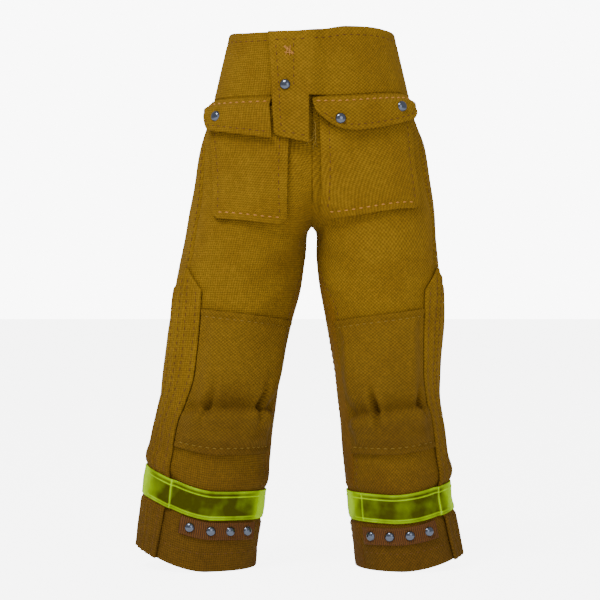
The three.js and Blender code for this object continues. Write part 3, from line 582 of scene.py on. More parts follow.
def lathe(name, profile, place, normal, segments=32):
    """A profile of (radius, height) in mm turned round an axis along normal, with fan poles."""
    turn = np.arange(segments) * 2 * np.pi / segments
    radius, rise = np.asarray(profile, float).T
    local = np.stack([radius[:, None] * np.cos(turn), radius[:, None] * np.sin(turn),
                      np.repeat(rise[:, None], segments, 1)], -1).reshape(-1, 3) * MM
    axis = Vector(normal).to_track_quat("Z", "Y").to_matrix()
    points = local @ np.array(axis).T + np.asarray(place)
    obj = mesh_object(name, points, ring_quads(len(radius), segments))
    close_poles(obj)
    return obj


def close_poles(obj):
    """Merges the rings of no radius at both ends of a turned shape into single points."""
    work = bmesh.new()
    work.from_mesh(obj.data)
    bmesh.ops.remove_doubles(work, verts=work.verts, dist=1e-7)
    bmesh.ops.recalc_face_normals(work, faces=work.faces)
    work.to_mesh(obj.data)
    work.free()


def strand(path, radius, sides=8):
    """Points and faces of a thread: a circle of the radius, thinner at both ends, carried square
    to the path."""
    path = np.asarray(path, float)
    share = np.linspace(0, 1, 5 * len(path))
    knots = np.linspace(0, 1, len(path))
    degree = min(5, len(path) - 1)
    fit = [np.polynomial.Polynomial.fit(knots, path[:, i], degree) for i in range(3)]
    line = np.stack([f(share) for f in fit], -1)
    along = np.gradient(line, axis=0)
    along /= np.linalg.norm(along, axis=1, keepdims=True)
    side = np.cross(along, [0.3, 1.0, 0.2])
    side /= np.linalg.norm(side, axis=1, keepdims=True)
    up = np.cross(side, along)
    turn = np.arange(sides) * 2 * np.pi / sides
    size = radius * np.sqrt(np.clip(1.02 - (2 * share - 1) ** 16, 0.02, 1))
    ring = (side[:, None] * np.cos(turn)[:, None] + up[:, None] * np.sin(turn)[:, None])
    points = (line[:, None] + size[:, None, None] * ring).reshape(-1, 3)
    fan = np.array([[0, k, k + 1, k + 2] for k in range(1, sides - 2, 2)])
    caps = np.concatenate([fan[:, ::-1], fan + len(points) - sides])
    return points, np.concatenate([ring_quads(len(line), sides), caps])


def strands(name, paths, radius):
    """Several threads as one mesh."""
    made = [strand(path, radius) for path in paths]
    start = np.cumsum([0] + [len(points) for points, _ in made[:-1]])
    return mesh_object(name, np.concatenate([points for points, _ in made]),
                       np.concatenate([quads + s for (_, quads), s in zip(made, start)]))


# ------------------------------------------------------------------ materials
SOFT = {"interpolation_type": "SMOOTHSTEP"}
BLEND = {"data_type": "RGBA"}
TINT = {"data_type": "RGBA", "blend_type": "MULTIPLY"}
DIAGONAL = 1.41           # thread tops alternate, so a wave's length is the diagonal of a thread's


def add(tree, kind, inputs=None, out=0, **settings):
    """Adds a node with its settings; each input is a value or an output to link from. Gives one of
    its outputs."""
    made = tree.nodes.new(f"ShaderNode{kind}")
    for name, value in settings.items():
        setattr(made, name, value)
    for name, value in (inputs or {}).items():
        if isinstance(value, bpy.types.NodeSocket):
            tree.links.new(value, made.inputs[name])
        else:
            made.inputs[name].default_value = value
    return made.outputs[out] if len(made.outputs) else None


def new_material(name):
    """A material and its empty node tree, or a material made before and None."""
    if name in bpy.data.materials:
        return bpy.data.materials[name], None
    material = bpy.data.materials.new(name)
    material.use_nodes = True
    material.node_tree.nodes.clear()
    return material, material.node_tree


def rgba(value):
    return (*value, 1.0)


def shade(value, factor):
    return tuple(c * factor for c in value)


def wave(tree, vector, axis, spacing):
    """Sine of one coordinate of a vector, which repeats at a spacing in metres."""
    along = add(tree, "SeparateXYZ", {0: vector}, axis)
    turns = add(tree, "Math", {0: along, 1: 2 * math.pi / spacing}, operation="MULTIPLY")
    return add(tree, "Math", {0: turns}, operation="SINE")


def wobbled(tree, amount, scale):
    """The cloth's own coordinates, pushed about by noise as hand-sized threads wander."""
    uv = add(tree, "UVMap", uv_map="Cloth")
    noise = add(tree, "TexNoise", {"Vector": uv, "Scale": scale, "Detail": 2.0}, "Color")
    centred = add(tree, "VectorMath", {0: noise, 1: (0.5, 0.5, 0.5)}, operation="SUBTRACT")
    pushed = add(tree, "VectorMath", {0: centred, "Scale": amount}, operation="SCALE")
    return add(tree, "VectorMath", {0: uv, 1: pushed}, operation="ADD")


def woven(name, base, spacing, turn=0):
    """Cotton duck, a tight plain weave, piece-dyed: matt, with rounded thread tops, painted light
    where they rise and painted shade between them. It is a little uneven in colour from thread to
    thread, and darker and browner towards the hems, a painted shade of the light falling off
    downwards."""
    material, tree = new_material(name)
    if tree is None:
        return material
    cloth_props = props("cloth")
    vector = add(tree, "Mapping", {"Vector": wobbled(tree, 0.45 * MM, 420.0),
                                   "Rotation": (0, 0, math.radians(turn))})
    warp, weft = (wave(tree, vector, axis, DIAGONAL * spacing) for axis in (0, 1))
    tops = add(tree, "Math", {0: warp, 1: weft}, operation="MULTIPLY")
    height = add(tree, "MapRange", {"Value": tops, "From Min": -0.9, "From Max": 0.9}, **SOFT)
    place = add(tree, "TexCoord", out="Object")
    # Painted light on the thread tops and painted shade between them, from the weave's height.
    thread = add(tree, "Mix", {0: height, 6: rgba(shade(base, 0.74)),
                               7: rgba(shade(base, 1.19))}, 2, **BLEND)
    # slubs from thread to thread, then faded clouds a centimetre or two wide
    for scale, detail, roughness, high, tint in ((900.0, 3.0, 0.5, 0.75, (1.25, 1.22, 1.3, 1)),
                                                 (70.0, 4.0, 0.6, 0.7, (0.86, 0.83, 0.85, 1))):
        noise = add(tree, "TexNoise", {"Vector": place, "Scale": scale, "Detail": detail,
                                       "Roughness": roughness})
        share = add(tree, "MapRange", {"Value": noise, "From Min": 0.35, "From Max": high}, **SOFT)
        tinted = add(tree, "Mix", {0: 1.0, 6: thread, 7: tint}, 2, **TINT)
        thread = add(tree, "Mix", {0: share, 6: thread, 7: tinted}, 2, **BLEND)
    # Painted shade: darker and browner towards the hems, as the light falls off downwards.
    rise = add(tree, "SeparateXYZ", {0: place}, 2)
    low = add(tree, "MapRange", {"Value": rise, "From Min": 0.080, "From Max": 0.004}, **SOFT)
    hem_shade_ratio = rgba(tuple(s / b for s, b in zip(cloth_props.hem_shade_colour, cloth_props.duck)))
    hem_shade_tint = add(tree, "Mix", {0: 1.0, 6: thread, 7: hem_shade_ratio}, 2, **TINT)
    thread = add(tree, "Mix", {0: low, 6: thread, 7: hem_shade_tint}, 2, **BLEND)
    fuzz = add(tree, "TexNoise", {"Vector": place, "Scale": 3500.0, "Detail": 2.0})
    coarse = add(tree, "Bump", {"Height": height, "Strength": 0.55, "Distance": 0.22 * MM})
    bump = add(tree, "Bump", {"Height": fuzz, "Strength": 0.25, "Distance": 0.08 * MM,
                              "Normal": coarse})
    shader = add(tree, "BsdfPrincipled", {
        "Base Color": thread, "Roughness": 0.92, "Normal": bump, "Specular IOR Level": 0.12,
        "Sheen Weight": 0.08, "Sheen Roughness": 0.5, "Sheen Tint": rgba(base)})
    add(tree, "OutputMaterial", {0: shader})
    return material


def coarse_duck():
    """The heavier duck of the left side and the back yoke, whose thread tops show as dots in
    slanting rows."""
    return woven("coarse_cotton_duck_woven", tuple(props("cloth").duck), props("cloth").coarse)


def fine_duck():
    """The duck of the right side, turned so that its thread tops stand in level and upright
    rows."""
    return woven("fine_cotton_duck_woven", tuple(props("cloth").duck), props("cloth").fine, 45)


def bias_duck():
    """The duck of the left yoke and fly flap."""
    return woven("bias_cotton_duck_woven", tuple(props("cloth").duck), props("cloth").coarse)


def patch_duck():
    """The darker duck over the knees."""
    return woven("knee_cotton_duck_woven", tuple(props("cloth").patch), props("cloth").fine)


def strip_duck():
    """The browner duck along the inseams."""
    return woven("inseam_cotton_duck_woven", tuple(props("cloth").strip), props("cloth").fine)


def duck(leg):
    return coarse_duck() if leg is LEFT else fine_duck()


def lime_pvc():
    """Soft PVC sheet, calendered and heat embossed, glued over cloth: wet gloss, and an emission of
    its own colour that is a painted glow, standing partly for fluorescence. Its colour is painted
    light: bright lime on the embossed lines, near its edges and where it bends round the leg's
    sides, a painted reflection at grazing angles, and brown-green across the front, a painted shade
    where the cloth also shows through it."""
    material, tree = new_material("lime_pvc_calendered")
    if tree is None:
        return material
    trim = props("trim")
    place = add(tree, "TexCoord", out="Object")
    # thick carries the painted light of the shade attribute: high on the band's sides, edges and
    # ridges, low across its front.
    thick = add(tree, "Attribute", out="Fac", attribute_name="shade")
    cloudy = add(tree, "TexNoise", {"Vector": place, "Scale": 160.0, "Detail": 2.0})
    clouds_and_side_light = add(tree, "Math", {0: cloudy, 1: thick}, operation="ADD")
    amount = add(tree, "Math", {0: clouds_and_side_light, 1: -0.46}, operation="ADD", use_clamp=True)
    tone = add(tree, "Mix", {0: amount, 6: rgba(trim.lime_front_shade), 7: rgba(trim.lime)}, 2, **BLEND)
    prism = add(tree, "TexVoronoi", {"Vector": place, "Scale": 1400.0})
    bump = add(tree, "Bump", {"Height": prism, "Strength": 0.06, "Distance": 0.05 * MM})
    # Painted glow: the band emits its own colour where its painted light is high, on its sides,
    # edges and ridges, standing partly for fluorescence.
    glow = add(tree, "Math", {0: amount, 1: 0.42}, operation="MULTIPLY")
    shader = add(tree, "BsdfPrincipled", {
        "Base Color": tone, "Roughness": 0.24, "Normal": bump, "Specular IOR Level": 0.0,
        "Coat Weight": 0.10, "Coat Roughness": 0.08, "Emission Color": tone,
        "Emission Strength": glow})
    add(tree, "OutputMaterial", {0: shader})
    return material


def grosgrain():
    """Polyester grosgrain, ribbed in weaving: stiff brown ribs across its width, with painted light
    on the ribs and painted shade in the dark lines between them."""
    material, tree = new_material("brown_polyester_grosgrain")
    if tree is None:
        return material
    base = tuple(props("trim").ribbon)
    ribs = wave(tree, wobbled(tree, 0.12 * MM, 700.0), 0, 0.62 * MM)
    height = add(tree, "MapRange", {"Value": ribs, "From Min": -0.9, "From Max": 0.9}, **SOFT)
    place = add(tree, "TexCoord", out="Object")
    slub = add(tree, "TexNoise", {"Vector": place, "Scale": 800.0, "Detail": 3.0})
    # Painted light on the ribs and painted shade in the grooves between them.
    tone = add(tree, "Mix", {0: height, 6: rgba(shade(base, 0.55)),
                             7: rgba(shade(base, 1.3))}, 2, **BLEND)
    paler = add(tree, "Mix", {0: 1.0, 6: tone, 7: (1.3, 1.2, 1.1, 1)}, 2, **TINT)
    tone = add(tree, "Mix", {0: slub, 6: tone, 7: paler}, 2, **BLEND)
    bump = add(tree, "Bump", {"Height": height, "Strength": 0.6, "Distance": 0.2 * MM})
    shader = add(tree, "BsdfPrincipled", {"Base Color": tone, "Roughness": 0.75, "Normal": bump,
                                          "Specular IOR Level": 0.25})
    add(tree, "OutputMaterial", {0: shader})
    return material


def nickel():
    """Brass domes stamped, tumbled and nickel plated: mirror bright, with faint rub marks, and a
    dark blue-grey colour that is a painted reflection of dark surroundings.
    """
    material, tree = new_material("nickel_plated_brass_stamped")
    if tree is None:
        return material
    place = add(tree, "TexCoord", out="Object")
    rubbed = add(tree, "TexNoise", {"Vector": place, "Scale": 1500.0, "Detail": 3.0})
    rough = add(tree, "MapRange", {"Value": rubbed, "To Min": 0.08, "To Max": 0.24})
    # Dark blue-grey: a painted reflection of dark surroundings; the noise between the two tones is
    # rub marks.
    nickel_with_painted_reflection = tuple(props("trim").nickel)
    tone = add(tree, "Mix", {0: rubbed, 6: rgba(shade(nickel_with_painted_reflection, 0.72)), 7: rgba(nickel_with_painted_reflection)}, 2,
               **BLEND)
    shader = add(tree, "BsdfPrincipled", {"Base Color": tone, "Metallic": 1.0,
                                          "Roughness": rough})
    add(tree, "OutputMaterial", {0: shader})
    return material


def polyester(name, base):
    """Polyester sewing thread, twisted: a soft shine, with a painted highlight and painted shade
    along the turns of its plies, drawn coarser than they are so that they show."""
    material, tree = new_material(name)
    if tree is None:
        return material
    place = add(tree, "TexCoord", out="Object")
    turned = add(tree, "Mapping", {"Vector": place, "Rotation": (0.6, 0.5, 0.8)})
    ply_light_and_shade = add(tree, "MapRange", {"Value": wave(tree, turned, 0, 0.3 * MM), "From Min": -1,
                                 "From Max": 1}, **SOFT)
    # Painted highlight and painted shade along the turns of the plies.
    tone = add(tree, "Mix", {0: ply_light_and_shade, 6: rgba(shade(base, 0.7)), 7: rgba(shade(base, 1.25))}, 2,
               **BLEND)
    shader = add(tree, "BsdfPrincipled", {"Base Color": tone, "Roughness": 0.6,
                                          "Specular IOR Level": 0.25})
    add(tree, "OutputMaterial", {0: shader})
    return material


def fine_thread():
    return polyester("brown_polyester_thread", tuple(props("thread").fine))


def tan_thread():
    return polyester("tan_polyester_thread", tuple(props("thread").tan))


def heavy_thread():
    return polyester("orange_polyester_thread", tuple(props("thread").heavy))


def pile(name, base, scale, depth):
    """A nap of fibres, felted or looped: dull, with a speckle of painted light on the tips over
    painted shade at the roots.
    """
    material, tree = new_material(name)
    if tree is None:
        return material
    place = add(tree, "TexCoord", out="Object")
    tips = add(tree, "TexVoronoi", {"Vector": place, "Scale": scale})
    root = add(tree, "MapRange", {"Value": tips, "From Min": 0.1, "From Max": 0.7}, **SOFT)
    # Painted light on the fibre tips and painted shade at their roots.
    tone = add(tree, "Mix", {0: root, 6: rgba(shade(base, 1.25)), 7: rgba(shade(base, 0.5))}, 2,
               **BLEND)
    bump = add(tree, "Bump", {"Height": tips, "Strength": 0.8, "Distance": depth}, invert=True)
    shader = add(tree, "BsdfPrincipled", {"Base Color": tone, "Roughness": 0.95, "Normal": bump,
                                          "Specular IOR Level": 0.15})
    add(tree, "OutputMaterial", {0: shader})
    return material


def felt():
    return pile("polyester_needled_felt", tuple(props("trim").felt), 2600.0, 0.15 * MM)


def hook_and_loop():
    return pile("nylon_hook_and_loop", tuple(props("trim").hook), 1700.0, 0.3 * MM)


def studio_paper(name, tone):
    """Matt background paper: pale, with the faintest mottle of its fibres, and lit from behind so
    that it is seen white."""
    material, tree = new_material(name)
    place = add(tree, "TexCoord", out="Object")
    fibres = add(tree, "TexNoise", {"Vector": place, "Scale": 300.0})
    mottle = add(tree, "Mix", {0: fibres, 6: rgba(shade(tone, 0.985)), 7: rgba(tone)}, 2, **BLEND)
    sight = add(tree, "LightPath", out="Is Camera Ray")
    glow = add(tree, "MapRange", {"Value": sight, "To Min": 0.4, "To Max": 6.0})
    shader = add(tree, "BsdfPrincipled", {
        "Base Color": mottle, "Roughness": 0.95, "Specular IOR Level": 0.1,
        "Emission Color": (1, 1, 1, 1), "Emission Strength": glow})
    add(tree, "OutputMaterial", {0: shader})
    return material


# ------------------------------------------------------------------ reliefs: outer faces in mm
def level(value):
    """The same offset all over."""
    return lambda angle, height: np.full(np.broadcast(angle, height).shape, float(value))


def at_height(value):
    """The same height at every share of the width."""
    return lambda share: np.full(np.shape(share), float(value))


def gap(leg, height, width=SEAM_GAP):
    """A distance in mm round the leg, as an angle: the distance over the leg's radius."""
    return width / leg.radius(height)


def waist_top(leg, angle):
    """Height of the top edge: it dips beside the fly, rises over the left hip and falls at the
    sides."""
    x = leg.sign * (leg.centre(WAIST) + leg.half(WAIST) * np.cos(angle))
    front = smooth(-0.3, 0.3, np.sin(angle))
    return lerp(WAIST_BACK, waist_line(x), front)


def yoke_top(leg, edges, below=0.0):
    """The top edge, or a line below it, by share of the way between two edges."""
    first, second = (edge(np.float64(WAIST)) for edge in edges)
    return lambda share: waist_top(leg, lerp(first, second, share)) - below


def hem_fold(angle, height, raised):
    """Inner face of the leg cloth, thicker where the hem is turned up."""
    return raised - CLOTH - 0.7 * (1 - smooth(6, 8, height))


def shell_relief(leg):
    """The leg cloth, drawn in along its stitched hem."""
    return lambda angle, height: -0.16 * bell(height, HEM_STITCHES, 0.5) + 0 * np.asarray(angle)


def over_pad(leg, angle, height):
    """Knee patch: flat round its border, raised over the pad, with a groove along its stitches."""
    share = patch_share(leg, angle, height)
    span = (patch_edges(leg)[1](height) - patch_edges(leg)[0](height)) * leg.radius(height)
    top = lerp(PATCH_TOP_OUTER, PATCH_TOP_INNER, share)
    ends = np.minimum(height - PATCH_BOTTOM, top - height)
    border = np.minimum(np.minimum(share, 1 - share) * span, ends)
    swell = PAD_THICKNESS * smooth(PAD_BORDER / 2, 2 * PAD_BORDER, border)
    lip = 0.22 * bell(ends, 0.9, 0.9) - 0.22 * bell(ends, 2.2, 0.55)
    return LAYER + PATCH_CLOTH + swell + lip


def over_overlay(leg, angle, height):
    """Share of the way up from the leg on to the side panel, for the band that crosses it."""
    wrapped = np.where(angle > 2 * np.pi, angle - 2 * np.pi, angle)
    turned = np.where(wrapped > 1.5 * np.pi, wrapped - 2 * np.pi, wrapped)
    ramp_width, margin = 1.6 / leg.radius(height), 0.8 / leg.radius(height)
    back, front = (overlay_edge(leg, height, side) for side in (-1, 1))
    return np.minimum(smooth(back - margin - ramp_width, back - margin, turned),
                      1 - smooth(front + margin, front + margin + ramp_width, turned))


def side_relief(leg):
    """Side panel: edges rolled under, and a lapped seam standing along its middle."""
    def relief(angle, height):
        from_middle = (angle - leg.outseam(height)) * leg.radius(height)
        seam = 0.4 * smooth(-0.9, -0.3, from_middle) * (1 - smooth(0.2, 0.45, from_middle))
        rolled = 0.32 * bell(np.abs(from_middle), 5.7, 0.8)
        ridges = 0.35 * bell(np.abs(from_middle), 2.6, 0.7)
        return LAYER + OVERLAY_CLOTH + seam + rolled + ridges
    return relief


def pocket_x(leg, edge, height):
    """Distance of a pocket's edge from the middle: straight from its foot to its mouth."""
    bottom, top = leg.pocket[edge]
    return lerp(bottom, top, (height - POCKET_BOTTOM) / (POCKET_MOUTH - POCKET_BOTTOM))


def pocket_edges(leg):
    return tuple(lambda height, edge=edge: leg.at_x(pocket_x(leg, edge, height), height)
                 for edge in ("outer", "inner"))


def pocket_low(leg):
    """Bottom edge of a pocket: level, with a quarter circle at each corner."""
    width = leg.pocket["outer"][0] - leg.pocket["inner"][0]

    def low(share):
        dip = np.clip(1 - np.minimum(share, 1 - share) * width / POCKET_CORNER, 0, 1)
        return POCKET_BOTTOM + POCKET_CORNER * (1 - np.sqrt(1 - dip ** 2))
    return low


def pocket_relief(leg):
    """A pocket: its sewn border lies on the leg, a groove follows the stitches, and the middle is
    full."""
    outer, inner = pocket_edges(leg)

    def relief(angle, height):
        share = np.clip((angle - outer(height)) / (inner(height) - outer(height)), 0, 1)
        span = (inner(height) - outer(height)) * leg.radius(height)
        border = np.minimum(np.minimum(share, 1 - share) * span, height - pocket_low(leg)(share))
        groove = 0.3 * bell(border, 2.2, 0.55)
        return lerp(LAYER + POCKET_CLOTH + 0.75, POCKET_DEPTH, smooth(0.2, 3.2, border)) - groove
    return relief


def fly_free_x(height):
    """Distance of the fly's free edge from the middle: straight from its foot to the waist."""
    return FLY_EDGE - lerp(FLY_WIDTH_BOTTOM, FLY_WIDTH_TOP,
                           (height - FLY_BOTTOM_FREE) / (WAIST - FLY_BOTTOM_FREE))


def flap_edges(leg):
    """Outer and inner edge of a pocket flap, a little past the pocket's edges."""
    def outer(height):
        return leg.at_x(pocket_x(leg, "outer", height) + FLAP_SLACK, height)

    def inner(height):
        if leg is RIGHT:
            return leg.at_x(-fly_free_x(height) + 2 * SEAM_GAP, height)
        spread = 1.2 * smooth(142, 147, height)
        return leg.at_x(pocket_x(leg, "inner", height) - FLAP_SLACK - spread, height)
    return outer, inner


def flap_low(leg):
    """Lower edge of a flap. The right one falls towards the fly. The left one is lowest beyond its
    middle and drawn in at its inner corner."""
    if leg is RIGHT:
        return lambda u: lerp(138.6, 135.2, u) + 4.5 * np.maximum(0, 1 - u / 0.14) ** 2
    return lambda u: (137.0 + 3.4 * (np.maximum(0, 0.62 - u) / 0.62) ** 2
                      + 1.8 * np.maximum(0, 1 - u / 0.08) ** 2
                      + 6.2 * np.maximum(0, (u - 0.62) / 0.38) ** 2.6)


def flap_relief(leg):
    """A flap leaves the leg at the yoke seam, is pinched by the thick stitches, and climbs clear
    of the pocket; its free edge is turned under."""
    outer, inner = flap_edges(leg)

    def relief(angle, height):
        share = np.clip((angle - outer(height)) / (inner(height) - outer(height)), 0, 1)
        climb = lerp(POCKET_DEPTH + FLAP_CLEARANCE, LAYER, smooth(POCKET_MOUTH, FLAP_TOP, height))
        edge = height - flap_low(leg)(share)
        pinch = 0.3 * bell(height, FLAP_TOP - 1.7, 0.6)
        ripple = 0.12 * np.sin(38 * share) * bell(height, FLAP_TOP - 3.4, 1.5)
        rolled = 0.16 * bell(edge, 0.7, 0.7) - 0.14 * bell(edge, 1.8, 0.4)
        return climb + FLAP_CLOTH - pinch + ripple + rolled
    return relief


def fly_relief(leg, angle, height):
    """Left yoke and fly flap in one: level with the shell at the left, climbing to the flap's
    standoff at the fly, and standing off the pocket below the yoke seam."""
    x = leg.sign * (leg.centre(height) + leg.half(height) * np.cos(angle))
    inside = lerp(FLY_OVER_POCKET, FLY_STANDOFF, smooth(POCKET_MOUTH - 1, YOKE + 2, height))
    rise = (inside + CLOTH) * (1 - smooth(0, FLY_RISE_WIDTH, x - FLY_EDGE))
    edge = x - fly_free_x(height)
    return rise + 0.18 * bell(edge, 0.6, 0.6) - 0.14 * bell(edge, 1.9, 0.4)


def fly_low(share):
    """Lower edge of the fly flap, share 0 at its free edge, with a small round corner there."""
    return (lerp(FLY_BOTTOM_FREE, FLY_BOTTOM_HINGE, share)
            + 0.8 * np.maximum(0, 1 - share / 0.12) ** 2)


def patch_edges(leg):
    return (lambda height: overlay_edge(leg, height, 1) + gap(leg, height),
            lambda height: leg.inseam(height, INSEAM_FRONT) - gap(leg, height))


def ribbon_place(leg):
    """Angle and height of the studded ribbon's middle line, each by share of its length, and half
    its length as an angle."""
    level_height = TAPE - BAND_WIDTH / 2 - RIBBON_BELOW_BAND - RIBBON_WIDTH / 2
    radius = leg.radius(level_height)
    centre = RIBBON_SHIFT / radius + (overlay_edge(leg, level_height, 1)
                                      + leg.inseam(level_height, INSEAM_FRONT)) / 2
    reach = STUDS * STUD_PITCH / 2 / radius

    def angle_at(share):
        return centre + (2 * share - 1) * reach

    def height_at(share):
        hang = lerp(leg.band["ribbon_outer"], leg.band["ribbon_inner"], share)
        return band_low(leg, angle_at(share)) - RIBBON_BELOW_BAND - RIBBON_WIDTH / 2 - hang
    return angle_at, height_at, reach


# ------------------------------------------------------------------ rows of stitches
SAMPLES = 240


def sew(name, rows, material, body="shell", hinge=None, scale=1.0):
    """One mesh of stitches for a list of rows, each a leg, its angles, heights and relief."""
    thread = Thread()
    for row in rows:
        thread.run(*row)
    return finish_piece(thread.make(name, scale), material, (), body, hinge)


def down(leg, edge, inset, low, high, relief):
    """A row that follows an edge at a distance in mm round the leg."""
    height = np.linspace(low, high, SAMPLES)
    return leg, edge(height) + inset / leg.radius(height), height, relief


def level_row(leg, edges, height_at, relief, start=0.0, end=1.0):
    """A row from the first edge towards the second at a height given by the share of the way."""
    share = np.linspace(start, end, SAMPLES)
    height = height_at(share) * np.ones(SAMPLES)
    return leg, lerp(edges[0](height), edges[1](height), share), height, relief


# ------------------------------------------------------------------ pieces
def cut_leg(leg):
    """Both panels and the inseam strip of one leg, and the rows of stitches down them."""
    def shift(height):
        return gap(leg, height, SEAM_LAP)

    def rise(height):
        return leg.at_x(SEAM_LAP - RISE_LAP * bell(height, CROTCH, 4), height)

    def seam(pattern, side):
        return lambda height: leg.inseam(height, pattern) + side * shift(height)

    front = (lambda h: leg.outseam(h) + shift(h),
             lambda h: np.where(h > CROTCH, rise(h), seam(INSEAM_FRONT, -1)(h)))
    back = (lambda h: np.where(h > CROTCH, 2 * np.pi - rise(h), seam(INSEAM_BACK, 1)(h)),
            lambda h: 2 * np.pi + leg.outseam(h) - shift(h))
    strip = seam(INSEAM_FRONT, 1), seam(INSEAM_BACK, -1)
    relief = shell_relief(leg)
    ends = at_height(0), at_height(YOKE - SEAM_LAP)
    for part, edges in (("front_panel", front), ("back_panel", back)):
        obj = cloth(f"{leg.name}_{part}_cloth", leg, edges, ends, relief, CLOTH, step=0.85,
                    under=hem_fold)
        finish_piece(obj, duck(leg), (f"{leg.name}_{part}",))
    obj = cloth(f"{leg.name}_inseam_strip_cloth", leg, strip,
                (at_height(0), at_height(CROTCH - 6)), relief, CLOTH, step=0.7, under=hem_fold)
    finish_piece(obj, strip_duck(), (f"{leg.name}_inseam_strip",))
    rows = [down(leg, back[1], -1.3, 90, 146, relief), down(leg, strip[0], -1.4, 8, 100, relief),
            down(leg, strip[1], 1.4, 8, 100, relief), down(leg, back[0], 1.3, 112, 146, relief)]
    rows += [level_row(leg, edges, at_height(HEM_STITCHES), relief, 0.02, 0.98)
             for edges in (front, back)]
    sew(f"{leg.name}_leg_stitches", rows, fine_thread())


class PANTS_OT_legs(bpy.types.Operator):
    """Front and back of each leg and the strip along the inseam, cut from duck and sewn edge to
    edge."""
    bl_idname = "pants.legs"
    bl_label = "Legs"

    def execute(self, context):
        for leg in LEGS:
            cut_leg(leg)
        return {"FINISHED"}


def cut_side_panel(leg):
    """One side panel, with four rows of stitches at their distances in mm from its middle."""
    relief = side_relief(leg)
    obj = cloth(f"{leg.name}_side_panel_cloth", leg,
                (lambda h: overlay_edge(leg, h, -1), lambda h: overlay_edge(leg, h, 1)),
                (at_height(0), lambda share: lerp(OVERLAY_APEX, OVERLAY_SHOULDER,
                                                  np.sqrt((2 * share - 1) ** 2 + 0.002))),
                relief, OVERLAY_CLOTH, step=0.5, under=lambda a, h, raised: level(LAYER)(a, h))
    finish_piece(obj, duck(leg), (f"{leg.name}_side_panel",))
    rows = [down(leg, leg.outseam, shift, 1, high, relief)
            for shift, high in ((-1.5, 92), (1.3, 92), (-5.0, 88), (5.0, 88))]
    sew(f"{leg.name}_side_panel_stitches", rows, fine_thread())


class PANTS_OT_side_panels(bpy.types.Operator):
    """The pointed panel over each outseam, with a lapped seam down its middle."""
    bl_idname = "pants.side_panels"
    bl_label = "Side panels"

    def execute(self, context):
        for leg in LEGS:
            cut_side_panel(leg)
        return {"FINISHED"}


def pad_knee(leg):
    """One knee patch, the felt inset behind it, and the stitches across its top and bottom."""
    def relief(angle, height):
        return over_pad(leg, angle, height)

    def top(share):
        return lerp(PATCH_TOP_OUTER, PATCH_TOP_INNER, share)

    edges, inset = patch_edges(leg), 2.7 * PAD_BORDER
    obj = cloth(f"{leg.name}_knee_patch_cloth", leg, edges, (at_height(PATCH_BOTTOM), top),
                relief, PATCH_CLOTH, step=0.42)
    finish_piece(obj, patch_duck(), (f"{leg.name}_knee_patch",))
    pad = cloth(f"{leg.name}_knee_pad_felt", leg,
                (lambda h: edges[0](h) + gap(leg, h, inset),
                 lambda h: edges[1](h) - gap(leg, h, inset)),
                (at_height(PATCH_BOTTOM + inset), lambda share: top(share) - inset),
                level(PAD_THICKNESS - 0.1), PAD_THICKNESS - 0.1 - LAYER, step=0.8)
    del pad["flat"]
    finish_piece(pad, felt(), (f"{leg.name}_knee_pad",))
    rows = [level_row(leg, edges, place, relief, 0.03, 0.97)
            for place in (lambda share: top(share) - 2.2, at_height(PATCH_BOTTOM + 2.0))]
    sew(f"{leg.name}_knee_patch_stitches", rows, tan_thread())


class PANTS_OT_knees(bpy.types.Operator):
    """The patch over each knee and the felt pad inside it."""
    bl_idname = "pants.knees"
    bl_label = "Knees"

    def execute(self, context):
        for leg in LEGS:
            pad_knee(leg)
        return {"FINISHED"}


def wrap_band(leg):
    """One reflective band, once round the leg and over its side panel."""
    def start(height):
        return leg.inseam(height, INSEAM_BACK) + gap(leg, height, SEAM_GAP / 2)

    lines = [overlay_edge(leg, TAPE, 1) + 1.4 / leg.radius(TAPE) + 2 * np.pi,
             overlay_edge(leg, TAPE, -1) + 2 * np.pi,
             leg.inseam(TAPE, INSEAM_FRONT) - 2.4 / leg.radius(TAPE) + 2 * np.pi]

    def embossed(angle, height):
        up = height - band_low(leg, angle)
        ridge = bell(up, 1.0, 0.2) + bell(up, BAND_WIDTH - 1.7, 0.2)
        for line in lines:
            ridge = ridge + bell((angle - line) * leg.radius(TAPE), 0, 0.22)
        return np.clip(ridge, 0, 1)

    def relief(angle, height):
        up = height - band_low(leg, angle)
        slump = 0.12 * np.sin(7 * angle + 0.6 * height) * smooth(0, 2, np.minimum(
            up, BAND_WIDTH - up))
        return (LAYER + over_overlay(leg, angle, height) * (OVERLAY_CLOTH + LAYER)
                + BAND_THICKNESS + 0.12 * embossed(angle, height) + slump)

    begin = float(start(np.float64(TAPE)))

    def low(share):
        return band_low(leg, begin + 2 * np.pi * share)

    obj = cloth(f"{leg.name}_reflective_band_sheet", leg,
                (start, lambda h: start(h) + 2 * np.pi - gap(leg, h)),
                (low, lambda share: low(share) + BAND_WIDTH), relief, BAND_THICKNESS, step=0.36)
    shade_band(obj, leg, embossed)
    finish_piece(obj, lime_pvc(), (f"{leg.name}_reflective_band",))


class PANTS_OT_bands(bpy.types.Operator):
    """The lime band round each shin, with a heat-embossed line inside its edges."""
    bl_idname = "pants.bands"
    bl_label = "Reflective bands"

    def execute(self, context):
        for leg in LEGS:
            wrap_band(leg)
        return {"FINISHED"}


